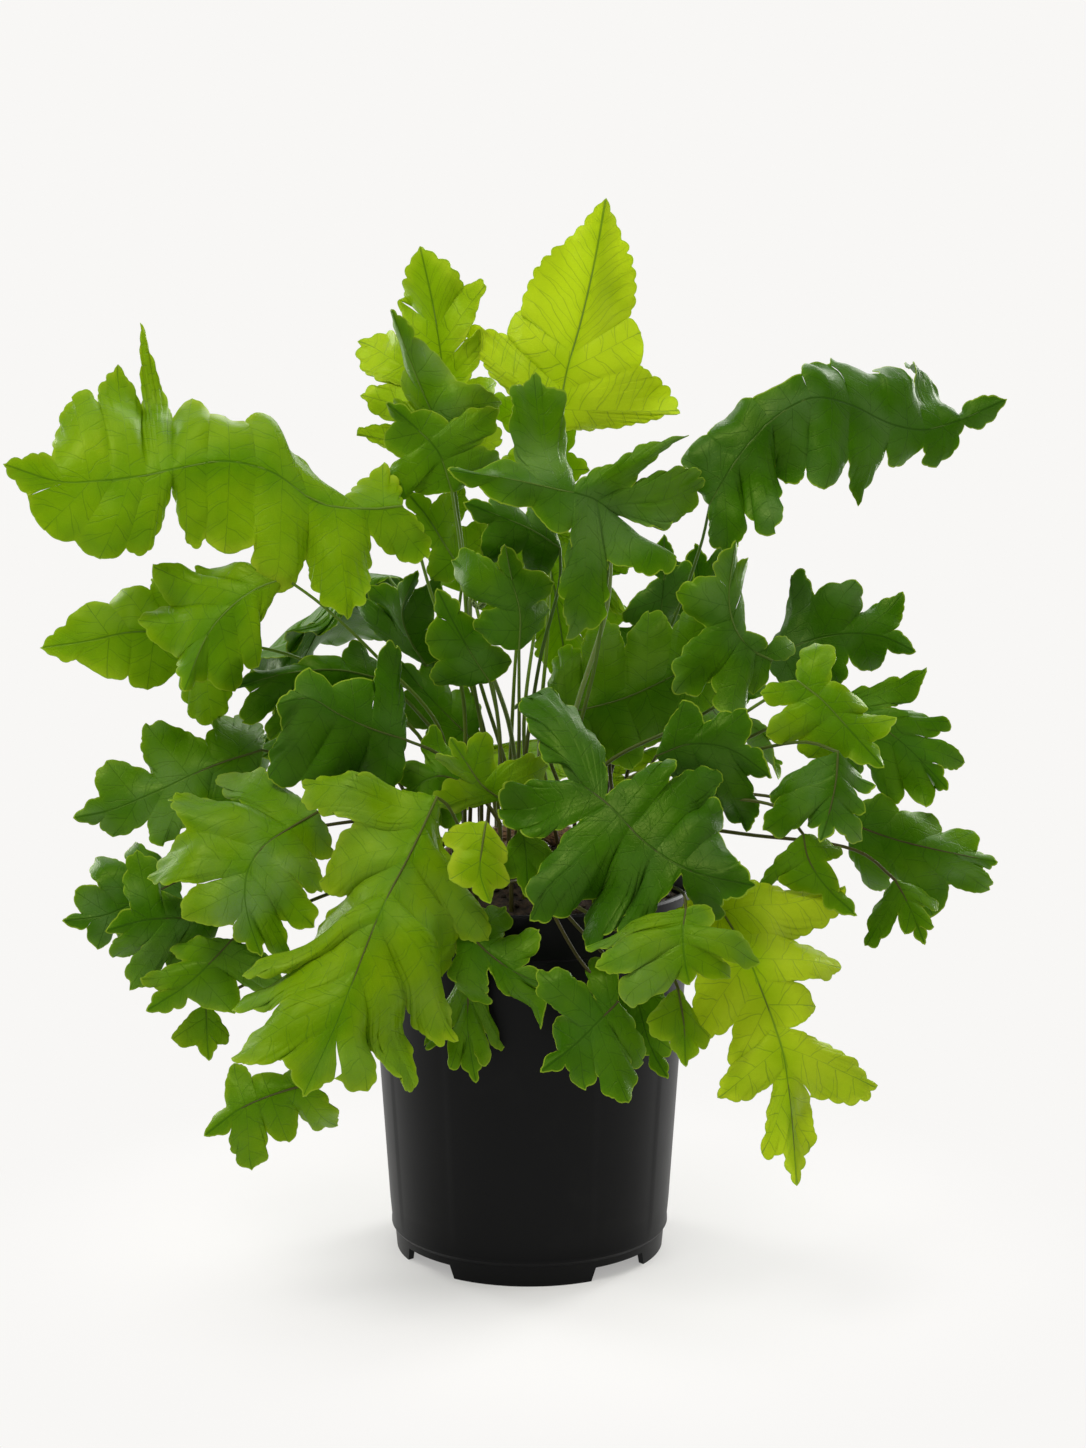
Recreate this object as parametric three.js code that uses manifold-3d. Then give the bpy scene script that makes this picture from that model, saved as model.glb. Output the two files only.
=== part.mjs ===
// Potted davana fern, in millimetres, +Z up.
// The origin is on the ground, on the pot's axis. The plant's front is towards -Y.
import * as THREE from 'three';
import { mergeVertices } from 'three/addons/utils/BufferGeometryUtils.js';
import Module from 'manifold-3d';

const wasm = await Module();
wasm.setup();

// Pot, one moulding
const POT_HEIGHT = 180;
const RIM_RADIUS = 80;
const RIM_HEIGHT = 22;
const RIM_LIP = 2.4;
const BODY_TOP_RADIUS = 77;
const RIDGE_RADIUS = 67.5;
const RIDGE_HEIGHT = 13;
const FOOT_RADIUS = 65;
const FOOT_WALL = 3;
const WALL = 1.8;
const FLOOR_HEIGHT = 8;
const FLOOR_THICKNESS = 2;
const POT_SEGMENTS = 32;
const NOTCH_HEIGHT = 6.5;
const NOTCH_ANGLES = [-48, 42, 132, 222];
const NOTCH_WIDTH = 29;
const NOTCH_SLOPE = 2.5;
const NOTCH_DEPTH = 16;
const DRAIN_RADIUS = 5;
const DRAIN_CIRCLE = 42;
const DRAIN_COUNT = 4;

// Soil and what grows on it
const GAP = 0.3;
const SOIL_EDGE_HEIGHT = 166;
const SOIL_CROWN = 28;
const SOIL_LUMP = 1.4;
const SOIL_SEGMENTS = 20;
const ROOT_DEPTH = 12;
const STIPE_RADIUS = 1.25;
const STIPE_SIDES = 4;
const STIPE_UPRIGHT = 14;
const STIPE_STEP = 50;
const STIPE_OVERLAP = 3;
const HOLE_RADIUS = 2.3;
const HOLE_SIDES = 4;
const RHIZOME_RADIUS = 6.5;
const RHIZOME_SIDES = 5;
const RHIZOME_LIFT = 5;

// Blades
const BLADE_THICKNESS = 0.7;
const RIB_THICKNESS = 1.5;
const LOBE_ROUNDNESS = 2.6;
const LOBE_SPACING = 0.4;
const LOBE_SLENDERNESS = 0.34;
const LOBE_ARCH = 0.05;
const LOBE_DROOP = 0.28;
const LOBE_WAVE = 0.22;
const LOBE_MIDDLE = 0.5;
const LOBE_STEPS = 4;
const END_WIDTH = 0.28;
const END_STEPS = 3;

// The fronds' places were read across and down a view of the plant, with the depth behind the pot's axis.
// The view's eye stands EYE_DISTANCE in front of the axis and looks down by EYE_PITCH.
const EYE_OFFSET = 6.6;
const EYE_DISTANCE = 1200;
const EYE_HEIGHT = 430.7;
const EYE_PITCH = THREE.MathUtils.degToRad(8.28);
const VIEW_SCALE = 2538.3;
const VIEW_CENTRE = [543, 724];

const YOUNG = 0x8fae1f;
const MATURE = 0x4f8a1d;
const DARK = 0x2f5e1c;

// A frond's record. root: where its stipe stands in the soil, as [x, y]. stipe and rachis: points as
// [across, down, depth]. left and right: its lobes' tips, base first, as [across, down, depth added, cut,
// slimness], seen walking from the base to the tip. cut is how far out the notch after the lobe lies, from
// 0 at the rachis to 1 at the line between the tips, or the notch's own place in the view. slimness is 1
// for a full lobe. end: the share of the rachis before the end lobe. lean: how far the blade lies back as
// it rises. droop: how far it falls back beside the rachis.
const FRONDS = [
  {
    name: 'frond_upper_left_long', colour: YOUNG, root: [-31, -0.6], lean: 0.4, cut: 0.6, droop: 0.3,
    stipe: [[462, 690, -2], [430, 590, -4], [412, 528, -10]],
    rachis: [[402, 506, -14], [368, 509, -18], [318, 503, -24], [272, 472, -32], [225, 461, -40],
      [185, 467, -46], [164, 472, -48], [138, 477, -50], [105, 481, -54], [60, 482, -58], [3, 464, -62]],
    left: [[424, 556, 0, 0.35], [344, 612, 0, 0.5], [268, 590, 0, 0.75], [228, 552, 0, 0.9],
      [190, 541, 0, 0.15, 0.9], [150, 546, 0, 0.95, 0.8], [100, 557, 0, 0.95], [44, 526, 0, 0.9]],
    right: [[384, 463, 0, [344, 498]], [288, 446, 0, 0.85, 0.8], [264, 413, 0, 0.85],
      [230, 406, 0, 0.85], [192, 388, 0, 0.6, 0.8], [144, 341, 20, 0.6, 0.45], [118, 366, 0, 0.8],
      [72, 396, 0, 0.5]],
  },
  {
    name: 'frond_left_light', colour: YOUNG, root: [-38, -2], lean: 0.35, cut: 0.8,
    stipe: [[440, 730, -10], [380, 660, -24], [322, 605, -34]],
    rachis: [[285, 578, -42], [258, 588, -46], [232, 606, -50], [208, 634, -54], [184, 692, -62]],
    left: [[258, 622], [259, 664], [236, 690]],
    right: [[212, 562], [158, 570], [141, 620]],
  },
  {
    name: 'frond_left_pointed', colour: MATURE, root: [-45, -3.4], lean: 0.3, cut: 0.85,
    stipe: [[425, 745, 8], [360, 690, 8], [290, 655, 2]],
    rachis: [[228, 642, -2], [180, 634, -6], [132, 632, -8], [88, 641, -10], [40, 648, -12]],
    left: [[212, 722, 0, 0.5], [148, 688], [108, 676]],
    right: [[170, 583], [123, 586], [86, 604]],
  },
  {
    name: 'frond_top_tall', colour: YOUNG, root: [9, 3.1], lean: 0.1, cut: 0.8, end: 0.36, wave: 0.2,
    stipe: [[540, 740, 8], [547, 640, 16], [551, 520, 24]],
    rachis: [[557, 430, 30], [566, 375, 33], [580, 325, 36], [594, 265, 38], [606, 198, 40]],
    left: [[469, 344, 0, [505, 335]], [514, 313, 0, [524, 316]]],
    right: [[670, 411, 0, [640, 365], 0.8], [643, 333, 0, [632, 318]]],
  },
  {
    name: 'frond_top_left_tall', colour: YOUNG, root: [-15, 1.7], lean: 0.1, cut: 0.5, end: 0.68,
    stipe: [[500, 740, 6], [486, 650, 20], [470, 580, 34], [457, 520, 42]],
    rachis: [[452, 470, 44], [449, 420, 47], [443, 370, 50], [434, 310, 52], [420, 246, 54]],
    left: [[367, 436], [368, 398], [366, 345, 0, 0.3], [402, 318, 0, [398, 300]]],
    right: [[500, 440], [494, 384], [478, 340], [478, 291, 0, [462, 288]]],
  },
  {
    name: 'frond_top_left_ruffled', colour: MATURE, root: [-7, 2.8], lean: 0.2, cut: 0.75,
    stipe: [[500, 745, 0], [472, 650, 8], [464, 560, 14]],
    rachis: [[452, 468, 18], [440, 430, 20], [424, 395, 20], [408, 355, 18], [391, 309, 14]],
    left: [[404, 412], [402, 380], [392, 345]],
    right: [[478, 428], [498, 403], [436, 352]],
  },
  {
    name: 'frond_top_left_low', colour: DARK, root: [-23, 0.7], lean: 0.3, cut: 0.6,
    stipe: [[484, 750, -4], [470, 660, 0], [462, 560, 4]],
    rachis: [[452, 492, 4], [438, 452, 4], [418, 430, 4], [386, 402, 2]],
    left: [[420, 492], [382, 500], [386, 440]],
    right: [[500, 462], [494, 412], [432, 412]],
  },
  {
    name: 'frond_centre_star', colour: DARK, root: [28.5, -14], lean: 0.4, cut: 0.35, droop: 0.2,
    stipe: [[575, 760, -26], [596, 660, -34], [608, 570, -34]],
    rachis: [[612, 514, -36], [592, 498, -44], [560, 490, -52], [515, 480, -58], [447, 470, -64]],
    left: [[664, 568, 0, 0.6], [598, 617, 0, 0.3], [560, 532, 0, 0.7], [500, 502, 0, 0.85]],
    right: [[700, 487], [677, 437, 0, 0.12, 0.45], [528, 396, 0, 0.5], [480, 461, 0, 0.8]],
  },
  {
    name: 'frond_centre_dark', colour: DARK, root: [-3, -8], lean: 0.3, cut: 0.5,
    stipe: [[524, 770, -12], [540, 660, -16], [560, 580, -18]],
    rachis: [[560, 548, -18], [532, 530, -20], [502, 517, -22], [463, 502, -24]],
    left: [[540, 582], [488, 560]],
    right: [[548, 502], [500, 492]],
  },
  {
    name: 'frond_behind_tall', colour: YOUNG, root: [-1, 13], lean: 0.1, cut: 0.5,
    stipe: [[524, 720, 30], [536, 620, 50], [545, 540, 60]],
    rachis: [[552, 488, 64], [556, 455, 66], [548, 425, 68], [530, 396, 70]],
    left: [[510, 470], [498, 402]],
    right: [[583, 470], [573, 430]],
  },
  {
    name: 'frond_behind_left', colour: YOUNG, root: [-16, 16], lean: 0.2, cut: 0.5,
    stipe: [[484, 730, 26], [458, 640, 28], [460, 600, 26]],
    rachis: [[464, 575, 22], [445, 545, 20], [428, 518, 18], [405, 490, 16]],
    left: [[432, 580], [404, 530]],
    right: [[492, 530], [462, 490]],
  },
  {
    name: 'frond_right_long', colour: DARK, root: [41, 2.8], lean: 0.4, cut: 0.7, droop: 0.35,
    stipe: [[612, 740, 28], [665, 640, 32], [700, 548, 14]],
    rachis: [[710, 505, 0], [738, 458, 0], [772, 420, 4], [812, 398, 10], [850, 405, 18],
      [890, 424, 26], [925, 430, 32], [960, 420, 38], [1007, 399, 44]],
    left: [[686, 460, 0, 0.9], [725, 407, 0, 0.9], [777, 388, 0, 0.75], [812, 358, 0, 0.9],
      [846, 357, 0, 0.7], [886, 370, 0, 0.4], [911, 353, 0, 0.15, 0.4]],
    right: [[724, 548, 0, 0.5], [772, 530, 0, 0.3], [788, 482, 0, 0.8], [818, 488, 0, 0.6],
      [857, 501, 0, 0.4, 0.45], [898, 466, 0, 0.5], [938, 464, 0, 0.4]],
  },
  {
    name: 'frond_left_dark_low', colour: MATURE, root: [-28, -22], lean: 0.3, cut: 0.75,
    stipe: [[465, 775, -44], [435, 752, -50]],
    rachis: [[406, 740, -50], [372, 729, -56], [340, 715, -60], [308, 698, -64], [276, 705, -68]],
    left: [[384, 804], [324, 798, 0, 0.9], [272, 780]],
    right: [[392, 655], [350, 680], [300, 683]],
  },
  {
    name: 'frond_left_dark_mid', colour: DARK, root: [-36, -14], lean: 0.3, cut: 0.7,
    stipe: [[452, 760, -16], [420, 715, -20]],
    rachis: [[385, 680, -24], [340, 670, -28], [295, 672, -32], [232, 687, -38]],
    left: [[365, 705], [273, 736], [242, 713]],
    right: [[362, 642], [315, 655], [262, 668]],
  },
  {
    name: 'frond_left_mid_up', colour: MATURE, root: [-24, 18], lean: 0.2, cut: 0.6,
    stipe: [[474, 750, 26], [442, 700, 28]],
    rachis: [[425, 664, 26], [410, 640, 24], [402, 612, 22], [418, 570, 20]],
    left: [[344, 612], [368, 590]],
    right: [[462, 645], [438, 583]],
  },
  {
    name: 'frond_left_mid_front', colour: DARK, root: [-9.5, -22.4], lean: 0.2, cut: 0.8,
    stipe: [[502, 775, -24], [498, 720, -20]],
    rachis: [[490, 682, -18], [472, 655, -18], [455, 625, -18], [437, 588, -18]],
    left: [[438, 682], [428, 640]],
    right: [[508, 662], [480, 625]],
  },
  {
    name: 'frond_centre_left_star', colour: MATURE, root: [-6, -15.2], lean: 0.2, cut: 0.4,
    stipe: [[519, 740, -26], [519, 690, -30]],
    rachis: [[519, 650, -34], [520, 612, -36], [512, 580, -38], [505, 544, -40]],
    left: [[475, 630], [447, 571]],
    right: [[550, 612], [552, 583, 0, 0.7]],
  },
  {
    name: 'frond_centre_big', colour: DARK, root: [17, 2], lean: 0.3, cut: 0.6,
    stipe: [[548, 752, 0]],
    rachis: [[548, 716, 0], [585, 709, 2], [625, 698, 4], [665, 680, 6], [700, 662, 8], [748, 640, 10]],
    left: [[562, 640, 0, 0.6], [600, 612, 0, 0.6], [648, 612, 0, 0.7], [704, 604, 0, 0.6]],
    right: [[585, 768, 0, 0.8], [632, 768, 0, 0.85], [662, 742, 0, 0.85], [710, 706, 0, 0.8]],
  },
  {
    name: 'frond_back_right_tall', colour: DARK, root: [22, 18], lean: 0.1, cut: 0.4,
    stipe: [[590, 740, 30], [634, 700, 42]],
    rachis: [[652, 668, 50], [660, 620, 54], [664, 580, 56], [664, 534, 58]],
    left: [[602, 650], [626, 612, 0, 0.3]],
    right: [[706, 640], [692, 570]],
  },
  {
    name: 'frond_back_right_broad', colour: MATURE, root: [34, 16], lean: 0.1, cut: 0.6,
    stipe: [[620, 750, 30], [684, 695, 50]],
    rachis: [[705, 660, 72], [702, 620, 76], [699, 585, 78], [695, 543, 80]],
    left: [[676, 610], [676, 560]],
    right: [[735, 620], [716, 550]],
  },
  {
    name: 'frond_right_star', colour: MATURE, root: [26.6, -21.6], lean: 0.2, cut: 0.35,
    stipe: [[600, 770, -26], [700, 716, -28], [760, 676, -30]],
    rachis: [[772, 660, -32], [752, 650, -36], [736, 630, -40], [729, 600, -42], [736, 540, -44]],
    left: [[752, 690], [724, 712, 0, 0.45], [678, 683, 0, 0.5], [681, 592, 0, 0.6]],
    right: [[796, 644], [764, 638, 0, 0.4], [744, 600, 0, 0.8], [748, 560]],
  },
  {
    name: 'frond_right_dark_back', colour: DARK, root: [49, 5.2], lean: 0.3, cut: 0.5,
    stipe: [[630, 765, 20], [710, 700, 20]],
    rachis: [[765, 664, 16], [800, 644, 14], [840, 634, 12], [880, 636, 12], [916, 652, 12]],
    left: [[804, 598, 0, 0.7], [856, 590, 0, 0.5], [898, 602, 0, 0.4]],
    right: [[800, 690], [838, 683], [872, 672]],
  },
  {
    name: 'frond_right_light', colour: YOUNG, root: [38, -28], lean: 0.4, cut: 0.55,
    stipe: [[610, 795, -50], [700, 742, -64], [768, 698, -72]],
    rachis: [[798, 681, -76], [822, 700, -80], [848, 728, -84], [884, 768, -88]],
    left: [[816, 646], [866, 700], [889, 723]],
    right: [[764, 693], [768, 735, 0, 0.8], [809, 757, 0, 0.8]],
  },
  {
    name: 'frond_right_far', colour: MATURE, root: [50, -8], lean: 0.3, cut: 0.5,
    stipe: [[640, 790, -12], [740, 742, -20]],
    rachis: [[826, 700, -26], [868, 718, -28], [908, 748, -30], [948, 790, -32]],
    left: [[910, 692, 0, 0.35], [944, 722, 0, 0.6], [957, 764]],
    right: [[850, 786], [888, 799, 0, 0.85], [926, 803, 0, 0.85]],
  },
  {
    name: 'frond_right_inner', colour: DARK, root: [40, -48], lean: 0.05, cut: 0.55, droop: 0.12,
    stipe: [[640, 806, -60], [646, 776, -68]],
    rachis: [[656, 756, -76], [690, 744, -78], [728, 748, -80], [772, 778, -84]],
    left: [[684, 706], [744, 712]],
    right: [[696, 796], [744, 830]],
  },
  {
    name: 'frond_right_mid_dark', colour: DARK, root: [36, -40], lean: 0.4, cut: 0.45,
    stipe: [[610, 800, -46], [720, 760, -62], [806, 742, -86]],
    rachis: [[838, 752, -98], [836, 780, -102], [830, 810, -106], [820, 843, -110]],
    left: [[874, 784], [866, 810], [862, 838]],
    right: [[766, 788], [766, 822], [804, 822]],
  },
  {
    name: 'frond_right_low', colour: DARK, root: [56, -20], lean: 0.3, cut: 0.75,
    stipe: [[655, 805, -24], [760, 795, -30]],
    rachis: [[842, 820, -36], [890, 838, -40], [938, 850, -44], [998, 862, -48]],
    left: [[880, 798], [932, 810], [973, 830]],
    right: [[868, 890, 0, 0.6], [930, 912], [985, 903]],
  },
  {
    name: 'frond_right_drip', colour: MATURE, root: [46, -34], lean: 0.4, cut: 0.4,
    stipe: [[640, 830, -46], [760, 836, -58], [860, 852, -62]],
    rachis: [[895, 880, -66], [905, 898, -68], [915, 920, -70], [925, 945, -72]],
    left: [[940, 900], [933, 926]],
    right: [[870, 940], [904, 933]],
  },
  {
    name: 'frond_right_low_hang', colour: MATURE, root: [30, -52], lean: 0.4, cut: 0.6,
    stipe: [[620, 830, -62], [700, 800, -68], [780, 808, -82]],
    rachis: [[803, 834, -94], [808, 858, -96], [825, 885, -98], [857, 916, -100]],
    left: [[840, 848], [838, 880]],
    right: [[758, 884], [785, 886]],
  },
  {
    name: 'frond_front_right_big', colour: MATURE, root: [14, -47], lean: 0.5, cut: 0.6,
    stipe: [[556, 806, -80]],
    rachis: [[584, 786, -92], [612, 808, -100], [640, 838, -110], [672, 862, -118], [700, 874, -124],
      [757, 886, -130]],
    left: [[529, 690, 0, 0.1, 0.6], [664, 770, 0, 0.6], [714, 772, 0, 0.85], [722, 806, 0, 0.85],
      [727, 845, 0, 0.9]],
    right: [[506, 812, -8, 0.3], [536, 911, 0, 0.5], [588, 943, 0, 0.5], [628, 939, 8, [682, 874]],
      [714, 915, 8, 0.7]],
  },
  {
    name: 'frond_front_right_yellow', colour: YOUNG, root: [20, -37], lean: 0.4, cut: 0.6,
    stipe: [[590, 850, -92], [665, 866, -98]],
    rachis: [[706, 887, -104], [742, 945, -116], [765, 1000, -126], [782, 1050, -134], [790, 1100, -140],
      [797, 1186, -150]],
    left: [[828, 898], [841, 963, 0, 0.45], [809, 1008, 0, 0.2], [875, 1082], [813, 1148]],
    right: [[650, 960], [697, 1030], [741, 1070, 0, 0.5], [723, 1094, 0, 0.3], [762, 1150]],
  },
  {
    name: 'frond_front_right_mid', colour: MATURE, root: [4, -38], lean: 0.4, cut: 0.5,
    stipe: [[556, 874, -80], [648, 882, -98], [680, 890, -110]],
    rachis: [[686, 909, -136], [683, 930, -142], [684, 956, -148], [690, 985, -152]],
    left: [[710, 910], [754, 960], [727, 977]],
    right: [[592, 945], [603, 966], [631, 1002]],
  },
  {
    name: 'frond_front_right_small', colour: YOUNG, root: [6, -60], lean: 0.3, cut: 0.85,
    stipe: [[566, 900, -84], [640, 945, -102], [668, 966, -124]],
    rachis: [[678, 988, -134], [684, 1025, -138], [686, 1067, -140]],
    left: [[706, 1035]],
    right: [[648, 1022]],
  },
  {
    name: 'frond_front_right_narrow', colour: DARK, root: [-2, -50], lean: 0.3, cut: 0.6,
    stipe: [[545, 890, -84], [600, 950, -92]],
    rachis: [[632, 975, -96], [640, 1010, -98], [650, 1045, -100], [668, 1079, -102]],
    left: [[668, 1000], [670, 1048]],
    right: [[612, 1012], [634, 1046]],
  },
  {
    name: 'frond_front_dark', colour: DARK, root: [-8, -60], lean: 0.3, cut: 0.45,
    stipe: [[535, 885, -88], [580, 960, -102]],
    rachis: [[618, 1002, -114], [600, 1020, -116], [575, 1045, -118], [540, 1072, -120]],
    left: [[642, 1060], [625, 1096], [585, 1087]],
    right: [[607, 955, 0, 0.3], [546, 977, 0, 0.5], [553, 1024]],
  },
  {
    name: 'frond_front_fingers', colour: DARK, root: [-18, -36.2], lean: 0.3, cut: 0.3,
    stipe: [[486, 860, -82], [462, 900, -88]],
    rachis: [[462, 925, -94], [485, 950, -100], [512, 970, -106], [552, 989, -112]],
    left: [[505, 905], [537, 931]],
    right: [[470, 1000], [543, 1018]],
  },
  {
    name: 'frond_front_dark_left', colour: MATURE, root: [-22, -42.7], lean: 0.3, cut: 0.5,
    stipe: [[474, 850, -74], [452, 900, -80]],
    rachis: [[466, 960, -86], [468, 995, -88], [468, 1030, -90], [476, 1083, -92]],
    left: [[507, 1044], [488, 1063]],
    right: [[428, 1040], [450, 1066]],
  },
  {
    name: 'frond_front_left_big', colour: YOUNG, root: [-34, -34], lean: 0.4, cut: 0.55, droop: 0.32,
    stipe: [[462, 836, -72], [448, 806, -80]],
    rachis: [[437, 797, -86], [424, 825, -94], [408, 858, -104], [390, 892, -114], [376, 922, -122],
      [358, 968, -132], [338, 1020, -142], [303, 1097, -154]],
    left: [[448, 868, 0, 0.4], [493, 930, 0, 0.5], [468, 968, 0, 0.4], [462, 1030, 0, 0.6],
      [410, 1084, 0, 0.7], [352, 1086, 0, 0.8]],
    right: [[322, 800, 0, 0.6], [316, 868, 0, 0.65], [290, 935, 0, 0.5], [252, 975, 0, 0.5],
      [246, 1012, 0, 0.6], [255, 1066, 0, 0.75]],
  },
  {
    name: 'frond_bottom_left', colour: MATURE, root: [-24, -58], lean: 0.3, cut: 0.5,
    stipe: [[440, 890, -82], [390, 945, -96], [335, 1035, -108]],
    rachis: [[312, 1083, -116], [275, 1094, -118], [242, 1108, -120], [204, 1136, -122]],
    left: [[335, 1132], [288, 1143], [252, 1169, 0, 0.35]],
    right: [[300, 1066, 0, 0.8], [262, 1072, 0, 0.7], [233, 1064]],
  },
  {
    name: 'frond_left_mid_big', colour: MATURE, root: [-44, -24], lean: 0.4, cut: 0.55,
    stipe: [[440, 838, -50], [370, 818, -56]],
    rachis: [[318, 812, -64], [290, 828, -72], [262, 848, -80], [248, 872, -86], [246, 905, -92],
      [262, 957, -96]],
    left: [[334, 848, 0, 0.7], [320, 890, 0, 0.6], [304, 925, 0, 0.5], [290, 956, 0, 0.6]],
    right: [[229, 758, 0, 0.5], [178, 790, 0, 0.75], [162, 885, 0, 0.6], [194, 920, 0, 0.6]],
  },
  {
    name: 'frond_left_far', colour: MATURE, root: [-52, -4.8], lean: 0.4, cut: 0.6,
    stipe: [[430, 795, -6], [335, 768, -12]],
    rachis: [[262, 750, -16], [215, 765, -18], [165, 788, -22], [112, 810, -26], [73, 818, -30]],
    left: [[225, 850, 0, 0.4], [164, 842], [114, 834]],
    right: [[240, 702, 0, 0.5], [152, 731, 0, 0.4], [112, 770]],
  },
  {
    name: 'frond_left_low', colour: DARK, root: [-52, -18], lean: 0.3, cut: 0.55,
    stipe: [[420, 825, -20], [300, 830, -26], [220, 860, -30]],
    rachis: [[180, 880, -34], [140, 900, -36], [105, 915, -38], [62, 921, -40]],
    left: [[175, 935], [125, 940], [98, 948]],
    right: [[137, 846], [95, 858], [80, 898]],
  },
  {
    name: 'frond_left_low_front', colour: YOUNG, root: [-50, -34], lean: 0.3, cut: 0.4,
    stipe: [[430, 855, -48], [320, 880, -56], [250, 905, -62]],
    rachis: [[222, 920, -66], [185, 918, -70], [148, 920, -74], [105, 931, -78]],
    left: [[168, 993], [132, 983], [116, 956]],
    right: [[210, 900, 0, 0.6], [165, 892, 0, 0.6], [138, 863]],
  },
  {
    name: 'frond_left_low_hang', colour: DARK, root: [-34, -54], lean: 0.3, cut: 0.5,
    stipe: [[440, 865, -66], [345, 888, -70], [264, 922, -80]],
    rachis: [[232, 940, -84], [211, 962, -86], [186, 985, -88], [146, 1011, -90]],
    left: [[280, 982, -8], [232, 1010]],
    right: [[176, 944], [148, 980]],
  },
  {
    name: 'frond_left_small_hang', colour: YOUNG, root: [-42, -42], lean: 0.3, cut: 0.8,
    stipe: [[440, 870, -58], [330, 935, -58], [244, 985, -64]],
    rachis: [[206, 1003, -74], [207, 1030, -76], [209, 1061, -78]],
    left: [[228, 1035]],
    right: [[178, 1036]],
  },
  {
    name: 'frond_left_inner', colour: DARK, root: [-20, -10], lean: 0.3, cut: 0.6,
    stipe: [[490, 775, -2], [486, 760, 4]],
    rachis: [[478, 745, 8], [450, 718, 12], [425, 692, 14], [398, 660, 16]],
    left: [[432, 756], [392, 716]],
    right: [[474, 690], [438, 652]],
  },
  {
    name: 'frond_left_inner_low', colour: DARK, root: [-13.5, -29], lean: 0.4, cut: 0.5,
    stipe: [[495, 815, -28], [480, 795, -30]],
    rachis: [[466, 784, -38], [440, 776, -40], [418, 786, -42], [402, 820, -46]],
    left: [[452, 828], [428, 836]],
    right: [[432, 738], [394, 764]],
  },
  {
    name: 'frond_centre_pale', colour: YOUNG, root: [-12, -42], lean: 0.4, cut: 0.8,
    stipe: [[503, 845, -92]],
    rachis: [[486, 822, -100], [482, 848, -106], [480, 872, -108], [490, 904, -112]],
    left: [[508, 850], [509, 882]],
    right: [[444, 828], [452, 878]],
  },
  {
    name: 'frond_centre_ruffled', colour: YOUNG, root: [6, -16], lean: 0.3, cut: 0.5,
    stipe: [[518, 830, -62]],
    rachis: [[502, 800, -70], [482, 785, -74], [466, 762, -76], [450, 737, -78]],
    left: [[440, 808], [434, 763]],
    right: [[545, 768], [484, 734]],
  },
  {
    name: 'frond_centre_low', colour: DARK, root: [8, -28], lean: 0.4, cut: 0.8,
    stipe: [[528, 835, -60], [524, 812, -80]],
    rachis: [[522, 825, -90], [526, 855, -92], [528, 898, -94]],
    left: [[560, 865]],
    right: [[502, 868]],
  },
];

// The fronds of the far side: azimuth in degrees from +X, where the stipe stands, how far out the tip
// reaches and how high the arch rises, the blade's half width and the side lobes on each side.
const FAR_FRONDS = [
  { name: 'frond_far_low_1', azimuth: 54, root: [34, 34], reach: 195, rise: 72, width: 52, lobes: 3 },
  { name: 'frond_far_low_2', azimuth: 88, root: [4, 50], reach: 158, rise: 44, width: 56, lobes: 4 },
  { name: 'frond_far_low_3', azimuth: 133, root: [-32, 44], reach: 200, rise: 128, width: 52, lobes: 3 },
  { name: 'frond_far_low_4', azimuth: 148, root: [-50, 14], reach: 205, rise: 56, width: 54, lobes: 3 },
  { name: 'frond_far_high', azimuth: 80, root: [-10.5, 35], reach: 118, rise: 132, width: 44, lobes: 3 },
];

// A young frond still rolled up: its stipe's points and the roll's radius
const CROZIERS = [
  { name: 'crozier_tall', root: [25, 0.9], stipe: [[570, 740, -8], [608, 600, -14], [609, 497, -14]], head: 5 },
  { name: 'crozier_short', root: [-5, 24.5], stipe: [[508, 720, 14], [482, 650, 6], [470, 618, 4]], head: 4 },
];

// Rhizomes that creep over the crown of the soil and fork from one another, as [x, y, lift]
const RHIZOMES = [
  [[-58, -6, -4], [-28, 0, 0], [2, 4, 2], [32, 0, 0], [58, 8, -4]],
  [[2, 4, 2], [-8, -20, 0], [-26, -46, -4]],
  [[32, 0, 0], [26, -24, 0], [14, -51, -4]],
  [[2, 4, 2], [-6, 28, 0], [-20, 50, -4]],
];

const radians = THREE.MathUtils.degToRad;

// The real place of a point seen at [across, down] that lies depth behind the pot's axis.
function viewPoint([across, down, depth]) {
  const sideways = (across - VIEW_CENTRE[0]) / VIEW_SCALE;
  const upwards = (VIEW_CENTRE[1] - down) / VIEW_SCALE;
  const forward = Math.cos(EYE_PITCH) + upwards * Math.sin(EYE_PITCH);
  const rise = -Math.sin(EYE_PITCH) + upwards * Math.cos(EYE_PITCH);
  const distance = (depth + EYE_DISTANCE) / forward;
  return new THREE.Vector3(EYE_OFFSET + sideways * distance, depth, EYE_HEIGHT + rise * distance);
}

function toSolid(geometry) {
  const bare = geometry.clone();
  bare.deleteAttribute('normal');
  bare.deleteAttribute('uv');
  const merged = mergeVertices(bare, 1e-4);
  return new wasm.Manifold(new wasm.Mesh({
    numProp: 3,
    vertProperties: new Float32Array(merged.attributes.position.array),
    triVerts: new Uint32Array(merged.index.array),
  }));
}

function toGeometry(solid) {
  const mesh = solid.getMesh();
  const geometry = new THREE.BufferGeometry();
  geometry.setAttribute('position', new THREE.BufferAttribute(new Float32Array(mesh.vertProperties), 3));
  geometry.setIndex(new THREE.BufferAttribute(new Uint32Array(mesh.triVerts), 1));
  return geometry;
}

function part(name, solid, color, roughness) {
  const material = new THREE.MeshStandardMaterial({ color, roughness, metalness: 0 });
  const mesh = new THREE.Mesh(toGeometry(solid), material);
  mesh.name = name;
  return mesh;
}

// A profile of [radius, height] pairs turned about +Z
function turned(profile, segments) {
  const geometry = new THREE.LatheGeometry(profile.map(([r, z]) => new THREE.Vector2(r, z)), segments);
  return geometry.rotateX(Math.PI / 2);
}

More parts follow.
